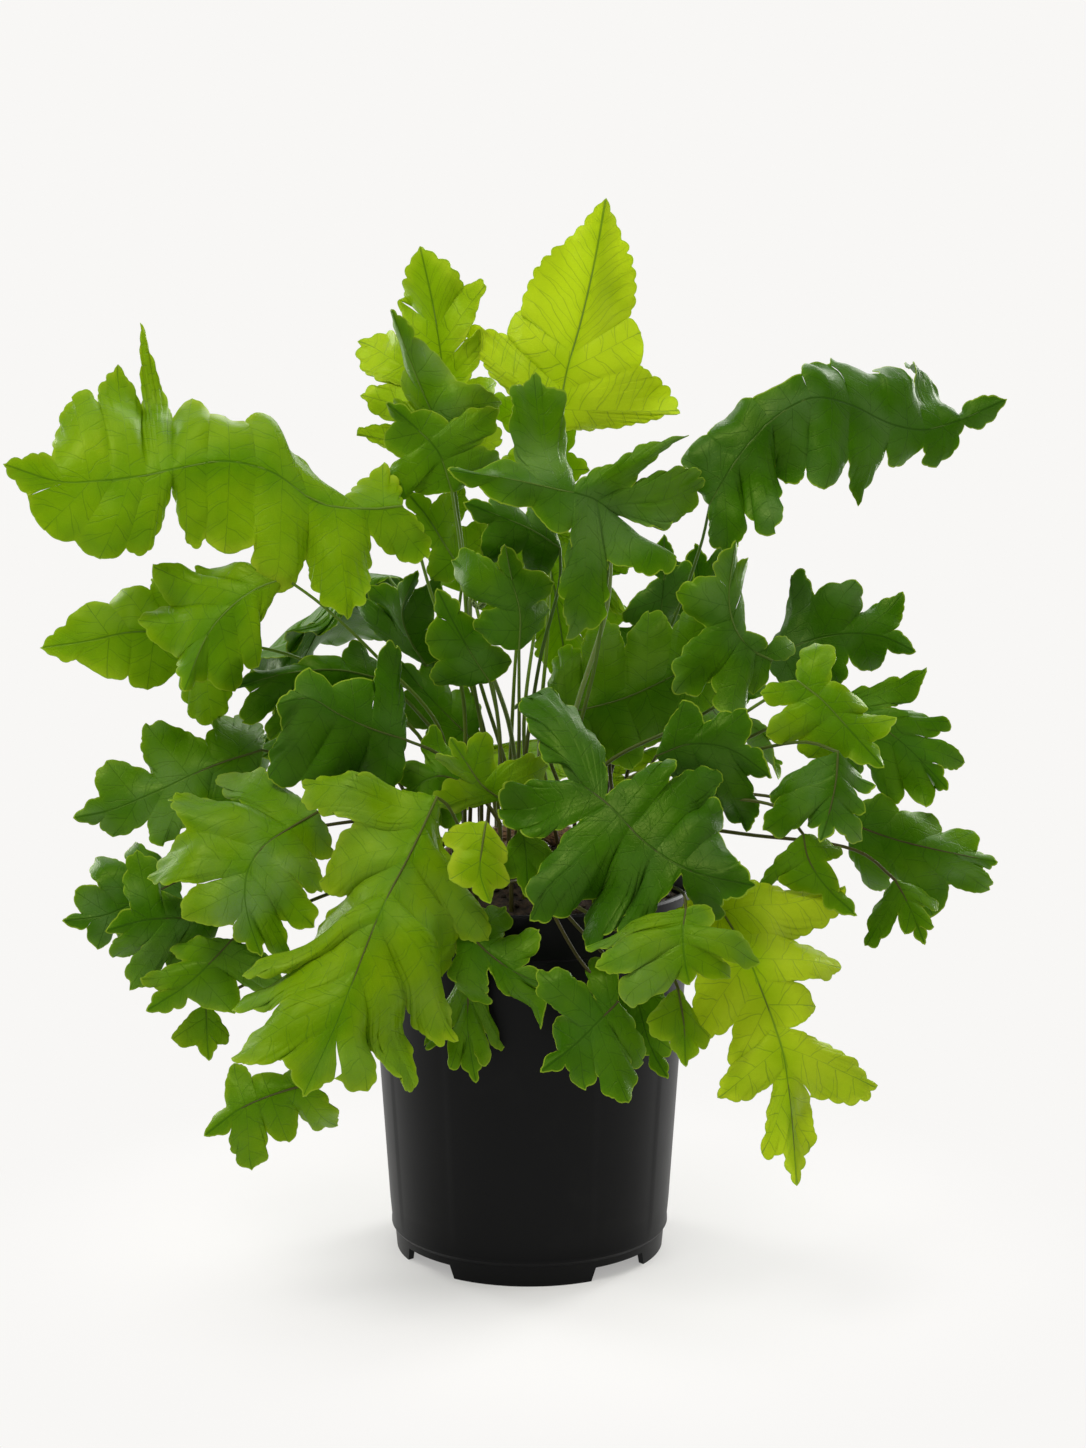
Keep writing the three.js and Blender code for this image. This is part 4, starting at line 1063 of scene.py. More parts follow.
    def _ruffle(self) -> None:
        """Curl the lobes up and down and wave their margins."""
        self.bm.normal_update()
        total = sum(vert.normal.dot(vert[self.up]) for vert in self.bm.verts)
        sign = self.frond.curl if total > 0 else -self.frond.curl
        for vert in self.bm.verts:
            out, reach = vert[self.outness], vert[self.reach]
            pace = vert[self.margin_place] * FORM.curl_pace
            curl = FORM.curl * noise.noise(Vector((pace, self.seed * 7.3, 1.5)))
            swell = reach * FORM.swell
            ruffle = out * min(reach, FORM.ruffle_reach) * FORM.ruffle
            frill = out ** 2 * min(reach, FORM.frill_reach) * FORM.frill
            lift = (out * vert[self.girth] * (curl - FORM.droop)
                    + swell * self._swell(vert.co, FORM.swell_span)
                    + ruffle * self._swell(vert.co, FORM.ruffle_span)
                    + frill * self._swell(vert.co, FORM.frill_span))
            vert.co += vert[self.up] * (lift * sign)

    def _swell(self, place: Vector, span: float) -> float:
        """Find the height of this frond's waves of one length at a place, about -0.7 to 0.7."""
        return noise.noise(place / span + Vector((self.seed * 3.7, self.seed * 1.9, span / MM)))

    def _thicken(self) -> None:
        """Raise a second skin over the blade and close its margin, which makes it a thin solid."""
        self.bm.normal_update()
        under = self.bm.faces[:]
        grown = bmesh.ops.extrude_face_region(self.bm, geom=under, use_keep_orig=True)["geom"]
        bmesh.ops.reverse_faces(self.bm, faces=under)
        skin = {item for item in grown if isinstance(item, bmesh.types.BMFace)}
        lifts = {}
        for vert in {vert for face in skin for vert in face.verts}:
            around = (face for face in vert.link_faces if face in skin)
            lifts[vert] = sum((face.normal * face.calc_area() for face in around), Vector())
        for vert, lift in lifts.items():
            vert.co += lift.normalized() * FORM.thickness

    def _stipe(self) -> None:
        """Draw the stipe from its root up to the blade and on along the rachis."""
        x, y = self.frond.root
        ground, foot = GROUND.root(x, y)
        top = Vector((x, y, ground + GROUND.stipe_upright)) * MM
        base = self.shape.rachis.at(0.0)
        stalk = SmoothPath([top, *self.shape.stipe, base]).spaced(self.stipe_steps)
        rib = self.shape.rachis.spaced(self.rib_steps)[1:]
        path = [Vector((x, y, foot)) * MM, *stalk, *rib]
        tapers = [self.stipe_taper[0]]
        tapers += [mixed(*self.stipe_taper, i / self.stipe_steps) for i in range(len(stalk))]
        tapers += [mixed(*self.rib_taper, (i + 1) / len(rib)) for i in range(len(rib))]
        radii = [self.stipe_radius * taper for taper in tapers]
        for face in sweep(self.bm, path, radii, self.stipe_sides):
            face.material_index = 1


FRONDS = (
    Frond("upper_left_long", 0.26, (-31, -0.6), lean=0.4, cut=0.6, droop=0.3, curl=0.9,
          stipe=((462, 690, -2), (430, 590, -4), (412, 528, -10)),
          rachis=((402, 506, -14), (368, 509, -18), (318, 503, -24), (272, 472, -32),
                  (225, 461, -40), (185, 467, -46), (164, 472, -48), (138, 477, -50),
                  (105, 481, -54), (60, 482, -58), (3, 464, -62)),
          left=((424, 556, 0, 0.35), (344, 612, 0, 0.5), (268, 590, 0, 0.75), (228, 552, 0, 0.9),
                (190, 541, 0, 0.15, 0.9), (150, 546, 0, 0.95, 0.8), (100, 557, 0, 0.95),
                (44, 526, 0, 0.9)),
          right=((384, 463, 0, (344, 498)), (288, 446, 0, 0.85, 0.8), (264, 413, 0, 0.85),
                 (230, 406, 0, 0.85), (192, 388, 0, 0.6, 0.8), (144, 341, 20, 0.6, 0.45),
                 (118, 366, 0, 0.8), (72, 396, 0, 0.5))),
    Frond("left_light", 0.34, (-38, -2), lean=0.35, cut=0.8,
          stipe=((440, 730, -10), (380, 660, -24), (322, 605, -34)),
          rachis=((285, 578, -42), (258, 588, -46), (232, 606, -50), (208, 634, -54),
                  (184, 692, -62)),
          left=((258, 622), (259, 664), (236, 690)),
          right=((212, 562), (158, 570), (141, 620))),
    Frond("left_pointed", 0.25, (-45, -3.4), cut=0.85,
          stipe=((425, 745, 8), (360, 690, 8), (290, 655, 2)),
          rachis=((228, 642, -2), (180, 634, -6), (132, 632, -8), (88, 641, -10), (40, 648, -12)),
          left=((212, 722, 0, 0.5), (148, 688), (108, 676)),
          right=((170, 583), (123, 586), (86, 604))),
    Frond("top_tall", 0.0, (9, 3.1), lean=0.1, cut=0.8, end=0.36, wave=0.2,
          stipe=((540, 740, 8), (547, 640, 16), (551, 520, 24)),
          rachis=((557, 430, 30), (566, 375, 33), (580, 325, 36), (594, 265, 38), (606, 198, 40)),
          left=((469, 344, 0, (505, 335)), (514, 313, 0, (524, 316))),
          right=((670, 411, 0, (640, 365), 0.8), (643, 333, 0, (632, 318)))),
    Frond("top_left_tall", 0.12, (-15, 1.7), lean=0.1, end=0.68,
          stipe=((500, 740, 6), (486, 650, 20), (470, 580, 34), (457, 520, 42)),
          rachis=((452, 470, 44), (449, 420, 47), (443, 370, 50), (434, 310, 52), (420, 246, 54)),
          left=((367, 436), (368, 398), (366, 345, 0, 0.3), (402, 318, 0, (398, 300))),
          right=((500, 440), (494, 384), (478, 340), (478, 291, 0, (462, 288)))),
    Frond("top_left_ruffled", 0.4, (-7, 2.8), lean=0.2, cut=0.75, painted_sheen=0.5,
          stipe=((500, 745, 0), (472, 650, 8), (464, 560, 14)),
          rachis=((452, 468, 18), (440, 430, 20), (424, 395, 20), (408, 355, 18), (391, 309, 14)),
          left=((404, 412), (402, 380), (392, 345)),
          right=((478, 428), (498, 403), (436, 352))),
    Frond("top_left_low", 0.5, (-23, 0.7), cut=0.6,
          stipe=((484, 750, -4), (470, 660, 0), (462, 560, 4)),
          rachis=((452, 492, 4), (438, 452, 4), (418, 430, 4), (386, 402, 2)),
          left=((420, 492), (382, 500), (386, 440)),
          right=((500, 462), (494, 412), (432, 412))),
    Frond("centre_star", 0.6, (28.5, -14), lean=0.4, cut=0.35, droop=0.2, painted_sheen=0.3,
          stipe=((575, 760, -26), (596, 660, -34), (608, 570, -34)),
          rachis=((612, 514, -36), (592, 498, -44), (560, 490, -52), (515, 480, -58),
                  (447, 470, -64)),
          left=((664, 568, 0, 0.6), (598, 617, 0, 0.3), (560, 532, 0, 0.7), (500, 502, 0, 0.85)),
          right=((700, 487), (677, 437, 0, 0.12, 0.45), (528, 396, 0, 0.5), (480, 461, 0, 0.8))),
    Frond("centre_dark", 0.74, (-3, -8),
          stipe=((524, 770, -12), (540, 660, -16), (560, 580, -18)),
          rachis=((560, 548, -18), (532, 530, -20), (502, 517, -22), (463, 502, -24)),
          left=((540, 582), (488, 560)),
          right=((548, 502), (500, 492))),
    Frond("behind_tall", 0.2, (-1, 13), lean=0.1,
          stipe=((524, 720, 30), (536, 620, 50), (545, 540, 60)),
          rachis=((552, 488, 64), (556, 455, 66), (548, 425, 68), (530, 396, 70)),
          left=((510, 470), (498, 402)),
          right=((583, 470), (573, 430))),
    Frond("behind_left", 0.3, (-16, 16), lean=0.2,
          stipe=((484, 730, 26), (458, 640, 28), (460, 600, 26)),
          rachis=((464, 575, 22), (445, 545, 20), (428, 518, 18), (405, 490, 16)),
          left=((432, 580), (404, 530)),
          right=((492, 530), (462, 490))),
    Frond("right_long", 0.73, (41, 2.8), lean=0.4, cut=0.7, droop=0.35, curl=1.25, painted_sheen=0.2,
          stipe=((612, 740, 28), (665, 640, 32), (700, 548, 14)),
          rachis=((710, 505, 0), (738, 458, 0), (772, 420, 4), (812, 398, 10), (850, 405, 18),
                  (890, 424, 26), (925, 430, 32), (960, 420, 38), (1007, 399, 44)),
          left=((686, 460, 0, 0.9), (725, 407, 0, 0.9), (777, 388, 0, 0.75), (812, 358, 0, 0.9),
                (846, 357, 0, 0.7), (886, 370, 0, 0.4), (911, 353, 0, 0.15, 0.4)),
          right=((724, 548, 0, 0.5), (772, 530, 0, 0.3), (788, 482, 0, 0.8), (818, 488, 0, 0.6),
                 (857, 501, 0, 0.4, 0.45), (898, 466, 0, 0.5), (938, 464, 0, 0.4))),
    Frond("left_dark_low", 0.76, (-28, -22), cut=0.75,
          stipe=((465, 775, -44), (435, 752, -50)),
          rachis=((406, 740, -50), (372, 729, -56), (340, 715, -60), (308, 698, -64),
                  (276, 705, -68)),
          left=((384, 804), (324, 798, 0, 0.9), (272, 780)),
          right=((392, 655), (350, 680), (300, 683))),
    Frond("left_dark_mid", 0.66, (-36, -14), cut=0.7,
          stipe=((452, 760, -16), (420, 715, -20)),
          rachis=((385, 680, -24), (340, 670, -28), (295, 672, -32), (232, 687, -38)),
          left=((365, 705), (273, 736), (242, 713)),
          right=((362, 642), (315, 655), (262, 668))),
    Frond("left_mid_up", 0.64, (-24, 18), lean=0.2, cut=0.6,
          stipe=((474, 750, 26), (442, 700, 28)),
          rachis=((425, 664, 26), (410, 640, 24), (402, 612, 22), (418, 570, 20)),
          left=((344, 612), (368, 590)),
          right=((462, 645), (438, 583))),
    Frond("left_mid_front", 0.62, (-9.5, -22.4), lean=0.2, cut=0.8, painted_sheen=0.15,
          stipe=((502, 775, -24), (498, 720, -20)),
          rachis=((490, 682, -18), (472, 655, -18), (455, 625, -18), (437, 588, -18)),
          left=((438, 682), (428, 640)),
          right=((508, 662), (480, 625))),
    Frond("centre_left_star", 0.62, (-6, -15.2), lean=0.2, cut=0.4,
          stipe=((519, 740, -26), (519, 690, -30)),
          rachis=((519, 650, -34), (520, 612, -36), (512, 580, -38), (505, 544, -40)),
          left=((475, 630), (447, 571)),
          right=((550, 612), (552, 583, 0, 0.7))),
    Frond("centre_big", 0.52, (17, 2), cut=0.6,
          stipe=((548, 752, 0),),
          rachis=((548, 716, 0), (585, 709, 2), (625, 698, 4), (665, 680, 6), (700, 662, 8),
                  (748, 640, 10)),
          left=((562, 640, 0, 0.6), (600, 612, 0, 0.6), (648, 612, 0, 0.7), (704, 604, 0, 0.6)),
          right=((585, 768, 0, 0.8), (632, 768, 0, 0.85), (662, 742, 0, 0.85), (710, 706, 0, 0.8))),
    Frond("back_right_tall", 0.74, (22, 18), lean=0.1, cut=0.4,
          stipe=((590, 740, 30), (634, 700, 42)),
          rachis=((652, 668, 50), (660, 620, 54), (664, 580, 56), (664, 534, 58)),
          left=((602, 650), (626, 612, 0, 0.3)),
          right=((706, 640), (692, 570))),
    Frond("back_right_broad", 0.8, (34, 16), lean=0.1, cut=0.6,
          stipe=((620, 750, 30), (684, 695, 50)),
          rachis=((705, 660, 72), (702, 620, 76), (699, 585, 78), (695, 543, 80)),
          left=((676, 610), (676, 560)),
          right=((735, 620), (716, 550))),
    Frond("right_star", 0.6, (26.6, -21.6), lean=0.2, cut=0.35, painted_sheen=0.35,
          stipe=((600, 770, -26), (700, 716, -28), (760, 676, -30)),
          rachis=((772, 660, -32), (752, 650, -36), (736, 630, -40), (729, 600, -42),
                  (736, 540, -44)),
          left=((752, 690), (724, 712, 0, 0.45), (678, 683, 0, 0.5), (681, 592, 0, 0.6)),
          right=((796, 644), (764, 638, 0, 0.4), (744, 600, 0, 0.8), (748, 560))),
    Frond("right_dark_back", 0.76, (49, 5.2), painted_sheen=0.2,
          stipe=((630, 765, 20), (710, 700, 20)),
          rachis=((765, 664, 16), (800, 644, 14), (840, 634, 12), (880, 636, 12), (916, 652, 12)),
          left=((804, 598, 0, 0.7), (856, 590, 0, 0.5), (898, 602, 0, 0.4)),
          right=((800, 690), (838, 683), (872, 672))),
    Frond("right_light", 0.38, (38, -28), lean=0.4, cut=0.55, painted_sheen=0.3,
          stipe=((610, 795, -50), (700, 742, -64), (768, 698, -72)),
          rachis=((798, 681, -76), (822, 700, -80), (848, 728, -84), (884, 768, -88)),
          left=((816, 646), (866, 700), (889, 723)),
          right=((764, 693), (768, 735, 0, 0.8), (809, 757, 0, 0.8))),
    Frond("right_far", 0.6, (50, -8),
          stipe=((640, 790, -12), (740, 742, -20)),
          rachis=((826, 700, -26), (868, 718, -28), (908, 748, -30), (948, 790, -32)),
          left=((910, 692, 0, 0.35), (944, 722, 0, 0.6), (957, 764)),
          right=((850, 786), (888, 799, 0, 0.85), (926, 803, 0, 0.85))),
    Frond("right_inner", 0.78, (40, -48), lean=0.05, cut=0.55, droop=0.12,
          stipe=((640, 806, -60), (646, 776, -68)),
          rachis=((656, 756, -76), (690, 744, -78), (728, 748, -80), (772, 778, -84)),
          left=((684, 706), (744, 712)),
          right=((696, 796), (744, 830))),
    Frond("right_mid_dark", 0.66, (36, -40), lean=0.4, cut=0.45, painted_sheen=0.25,
          stipe=((610, 800, -46), (720, 760, -62), (806, 742, -86)),
          rachis=((838, 752, -98), (836, 780, -102), (830, 810, -106), (820, 843, -110)),
          left=((874, 784), (866, 810), (862, 838)),
          right=((766, 788), (766, 822), (804, 822))),
    Frond("right_low", 0.62, (56, -20), cut=0.75,
          stipe=((655, 805, -24), (760, 795, -30)),
          rachis=((842, 820, -36), (890, 838, -40), (938, 850, -44), (998, 862, -48)),
          left=((880, 798), (932, 810), (973, 830)),
          right=((868, 890, 0, 0.6), (930, 912), (985, 903))),
    Frond("right_drip", 0.5, (46, -34), lean=0.4, cut=0.4,
          stipe=((640, 830, -46), (760, 836, -58), (860, 852, -62)),
          rachis=((895, 880, -66), (905, 898, -68), (915, 920, -70), (925, 945, -72)),
          left=((940, 900), (933, 926)),
          right=((870, 940), (904, 933))),
    Frond("right_low_hang", 0.45, (30, -52), lean=0.4, cut=0.6,
          stipe=((620, 830, -62), (700, 800, -68), (780, 808, -82)),
          rachis=((803, 834, -94), (808, 858, -96), (825, 885, -98), (857, 916, -100)),
          left=((840, 848), (838, 880)),
          right=((758, 884), (785, 886))),
    Frond("front_right_big", 0.8, (14, -47), lean=0.5, cut=0.6,
          stipe=((556, 806, -80),),
          rachis=((584, 786, -92), (612, 808, -100), (640, 838, -110), (672, 862, -118),
                  (700, 874, -124), (757, 886, -130)),
          left=((529, 690, 0, 0.1, 0.6), (664, 770, 0, 0.6), (714, 772, 0, 0.85),
                (722, 806, 0, 0.85), (727, 845, 0, 0.9)),
          right=((506, 812, -8, 0.3), (536, 911, 0, 0.5), (588, 943, 0, 0.5),
                 (628, 939, 8, (682, 874)), (714, 915, 8, 0.7))),
    Frond("front_right_yellow", 0.02, (20, -37), lean=0.4, cut=0.6,
          stipe=((590, 850, -92), (665, 866, -98)),
          rachis=((706, 887, -104), (742, 945, -116), (765, 1000, -126), (782, 1050, -134),
                  (790, 1100, -140), (797, 1186, -150)),
          left=((828, 898), (841, 963, 0, 0.45), (809, 1008, 0, 0.2), (875, 1082), (813, 1148)),
          right=((650, 960), (697, 1030), (741, 1070, 0, 0.5), (723, 1094, 0, 0.3), (762, 1150))),
    Frond("front_right_mid", 0.4, (4, -38), lean=0.4, painted_sheen=0.3,
          stipe=((556, 874, -80), (648, 882, -98), (680, 890, -110)),
          rachis=((686, 909, -136), (683, 930, -142), (684, 956, -148), (690, 985, -152)),
          left=((710, 910), (754, 960), (727, 977)),
          right=((592, 945), (603, 966), (631, 1002))),
    Frond("front_right_small", 0.3, (6, -60), cut=0.85,
          stipe=((566, 900, -84), (640, 945, -102), (668, 966, -124)),
          rachis=((678, 988, -134), (684, 1025, -138), (686, 1067, -140)),
          left=((706, 1035),),
          right=((648, 1022),)),
    Frond("front_right_narrow", 0.5, (-2, -50), cut=0.6,
          stipe=((545, 890, -84), (600, 950, -92)),
          rachis=((632, 975, -96), (640, 1010, -98), (650, 1045, -100), (668, 1079, -102)),
          left=((668, 1000), (670, 1048)),
          right=((612, 1012), (634, 1046))),
    Frond("front_dark", 0.6, (-8, -60), cut=0.45,
          stipe=((535, 885, -88), (580, 960, -102)),
          rachis=((618, 1002, -114), (600, 1020, -116), (575, 1045, -118), (540, 1072, -120)),
          left=((642, 1060), (625, 1096), (585, 1087)),
          right=((607, 955, 0, 0.3), (546, 977, 0, 0.5), (553, 1024))),
    Frond("front_fingers", 0.55, (-18, -36.2), cut=0.3,
          stipe=((486, 860, -82), (462, 900, -88)),
          rachis=((462, 925, -94), (485, 950, -100), (512, 970, -106), (552, 989, -112)),
          left=((505, 905), (537, 931)),
          right=((470, 1000), (543, 1018))),
    Frond("front_dark_left", 0.5, (-22, -42.7),
          stipe=((474, 850, -74), (452, 900, -80)),
          rachis=((466, 960, -86), (468, 995, -88), (468, 1030, -90), (476, 1083, -92)),
          left=((507, 1044), (488, 1063)),
          right=((428, 1040), (450, 1066))),
    Frond("front_left_big", 0.27, (-34, -34), lean=0.4, cut=0.55, droop=0.32, painted_sheen=0.2,
          stipe=((462, 836, -72), (448, 806, -80)),
          rachis=((437, 797, -86), (424, 825, -94), (408, 858, -104), (390, 892, -114),
                  (376, 922, -122), (358, 968, -132), (338, 1020, -142), (303, 1097, -154)),
          left=((448, 868, 0, 0.4), (493, 930, 0, 0.5), (468, 968, 0, 0.4), (462, 1030, 0, 0.6),
                (410, 1084, 0, 0.7), (352, 1086, 0, 0.8)),
          right=((322, 800, 0, 0.6), (316, 868, 0, 0.65), (290, 935, 0, 0.5), (252, 975, 0, 0.5),
                 (246, 1012, 0, 0.6), (255, 1066, 0, 0.75))),
    Frond("bottom_left", 0.38, (-24, -58),
          stipe=((440, 890, -82), (390, 945, -96), (335, 1035, -108)),
          rachis=((312, 1083, -116), (275, 1094, -118), (242, 1108, -120), (204, 1136, -122)),
          left=((335, 1132), (288, 1143), (252, 1169, 0, 0.35)),
          right=((300, 1066, 0, 0.8), (262, 1072, 0, 0.7), (233, 1064))),
    Frond("left_mid_big", 0.38, (-44, -24), lean=0.4, cut=0.55, painted_sheen=0.7,
          stipe=((440, 838, -50), (370, 818, -56)),
          rachis=((318, 812, -64), (290, 828, -72), (262, 848, -80), (248, 872, -86),
                  (246, 905, -92), (262, 957, -96)),
          left=((334, 848, 0, 0.7), (320, 890, 0, 0.6), (304, 925, 0, 0.5), (290, 956, 0, 0.6)),
          right=((229, 758, 0, 0.5), (178, 790, 0, 0.75), (162, 885, 0, 0.6), (194, 920, 0, 0.6))),
    Frond("left_far", 0.5, (-52, -4.8), lean=0.4, cut=0.6, painted_sheen=0.45,
          stipe=((430, 795, -6), (335, 768, -12)),
          rachis=((262, 750, -16), (215, 765, -18), (165, 788, -22), (112, 810, -26),
                  (73, 818, -30)),
          left=((225, 850, 0, 0.4), (164, 842), (114, 834)),
          right=((240, 702, 0, 0.5), (152, 731, 0, 0.4), (112, 770))),
    Frond("left_low", 0.6, (-52, -18), cut=0.55, painted_sheen=0.5,
          stipe=((420, 825, -20), (300, 830, -26), (220, 860, -30)),
          rachis=((180, 880, -34), (140, 900, -36), (105, 915, -38), (62, 921, -40)),
          left=((175, 935), (125, 940), (98, 948)),
          right=((137, 846), (95, 858), (80, 898))),
    Frond("left_low_front", 0.55, (-50, -34), cut=0.4, painted_sheen=0.35,
          stipe=((430, 855, -48), (320, 880, -56), (250, 905, -62)),
          rachis=((222, 920, -66), (185, 918, -70), (148, 920, -74), (105, 931, -78)),
          left=((168, 993), (132, 983), (116, 956)),
          right=((210, 900, 0, 0.6), (165, 892, 0, 0.6), (138, 863))),
    Frond("left_low_hang", 0.4, (-34, -54), painted_sheen=0.2,
          stipe=((440, 865, -66), (345, 888, -70), (264, 922, -80)),
          rachis=((232, 940, -84), (211, 962, -86), (186, 985, -88), (146, 1011, -90)),
          left=((280, 982, -8), (232, 1010)),
          right=((176, 944), (148, 980))),
    Frond("left_small_hang", 0.35, (-42, -42), cut=0.8,
          stipe=((440, 870, -58), (330, 935, -58), (244, 985, -64)),
          rachis=((206, 1003, -74), (207, 1030, -76), (209, 1061, -78)),
          left=((228, 1035),),
          right=((178, 1036),)),
    Frond("left_inner", 0.6, (-20, -10), cut=0.6,
          stipe=((490, 775, -2), (486, 760, 4)),
          rachis=((478, 745, 8), (450, 718, 12), (425, 692, 14), (398, 660, 16)),
          left=((432, 756), (392, 716)),
          right=((474, 690), (438, 652))),
    Frond("left_inner_low", 0.5, (-13.5, -29), lean=0.4,
          stipe=((495, 815, -28), (480, 795, -30)),
          rachis=((466, 784, -38), (440, 776, -40), (418, 786, -42), (402, 820, -46)),
          left=((452, 828), (428, 836)),
          right=((432, 738), (394, 764))),
    Frond("centre_pale", 0.1, (-12, -42), lean=0.4, cut=0.8,
          stipe=((503, 845, -92),),
          rachis=((486, 822, -100), (482, 848, -106), (480, 872, -108), (490, 904, -112)),
          left=((508, 850), (509, 882)),
          right=((444, 828), (452, 878))),
    Frond("centre_ruffled", 0.3, (6, -16), painted_sheen=0.25,
          stipe=((518, 830, -62),),
          rachis=((502, 800, -70), (482, 785, -74), (466, 762, -76), (450, 737, -78)),
          left=((440, 808), (434, 763)),
          right=((545, 768), (484, 734))),
    Frond("centre_low", 0.5, (8, -28), lean=0.4, cut=0.8,
          stipe=((528, 835, -60), (524, 812, -80)),
          rachis=((522, 825, -90), (526, 855, -92), (528, 898, -94)),
          left=((560, 865),),
          right=((502, 868),)),
)

FAR_FRONDS = (
    FarFrond("far_low_1", 0.5, azimuth=54, root=(34, 34), reach=195, rise=72, width=52,
             lobes=3, order=0),
    FarFrond("far_low_2", 0.2, azimuth=88, root=(4, 50), reach=158, rise=44, width=56,
             lobes=4, order=1),
    FarFrond("far_low_3", 0.65, azimuth=133, root=(-32, 44), reach=200, rise=128, width=52,
             lobes=3, order=2),
    FarFrond("far_low_4", 0.55, azimuth=148, root=(-50, 14), reach=205, rise=56, width=54,
             lobes=3, order=3),
    FarFrond("far_high", 0.25, azimuth=80, root=(-10.5, 35), reach=118, rise=132, width=44,
             lobes=3, order=4),
)


@dataclass
class CrozierMaker:
    """Builds a young frond that is still rolled up: its stalk and its roll."""

    name: str
    root: tuple[float, float]
    stipe: tuple[Triple, ...]
    head: float
    stalk_radius: float = 1.05
    neck: float = 8.0
    turns: float = 1.75
    tightening: float = 0.72
    sideways: float = 3.2
    stalk_steps: int = 30
    roll_steps: int = 56
    sides: int = 10
    bare_steps: int = 6

    def build(self) -> bpy.types.Object:
        """Build the crozier.

        Returns:
            The finished piece.
        """
        x, y = self.root
        ground, foot = GROUND.root(x, y)
        top = Vector((x, y, ground + GROUND.stipe_upright))
        seen = (VIEW.place(*point) / MM for point in self.stipe)
        stalk = SmoothPath([top, *seen]).spaced(self.stalk_steps)
        end = stalk[-1]
        roll = [end + self._turn(i / self.roll_steps) for i in range(self.roll_steps + 1)]
        path = [Vector((x, y, foot)), *stalk, end + UP * self.neck / 2, *roll]
        radii = [self._radius(i / (len(path) - 1)) for i in range(len(path))]
        bm = bmesh.new()
        sweep(bm, [point * MM for point in path], [radius * MM for radius in radii], self.sides)
        self._leaflets(bm, roll[self.bare_steps:])
        return finish_mesh(bm, self.name.replace("crozier", "rolled_frond"))

    def _turn(self, share: float) -> Vector:
        """Find a point of the roll from the stalk's end, from its outer end at 0 to 1."""
        angle = math.pi - 2 * math.pi * self.turns * share
        radius = self.head * (1 - self.tightening * share)
        return Vector((self.head + radius * math.cos(angle), -self.sideways * share,
                       self.neck + radius * math.sin(angle)))

    def _radius(self, share: float) -> float:
        """Find the stalk's radius, from its foot at 0 to the middle of the roll at 1."""
        return self.stalk_radius * (mixed(1.15, 0.9, share) - 0.55 * smooth_step(share, 0.6, 1.0))

    def _leaflets(self, bm: bmesh.types.BMesh, roll: Sequence[Vector]) -> None:
        """Set the folded lobes of the young blade along the roll."""
        middle = sum(roll, Vector()) / len(roll)
        for i in range(2, len(roll) - 2, 3):
            out = (roll[i] - middle).normalized()
            size = self.head * mixed(0.42, 0.2, i / len(roll))
            for side in (-1, 1):
                place = roll[i] + out * size * 0.15 + Vector((0, side * size * 0.8, 0))
                turn = upright_ring((out * 0.5 + Vector((0, side, 0))).normalized())
                shape = Matrix.Diagonal((0.5, 0.24, 1.0, 1.0))
                matrix = (Matrix.Translation(place * MM) @ turn @ shape
                          @ Matrix.Scale(size * MM, 4))
                bmesh.ops.create_icosphere(bm, subdivisions=2, radius=1.0, matrix=matrix)


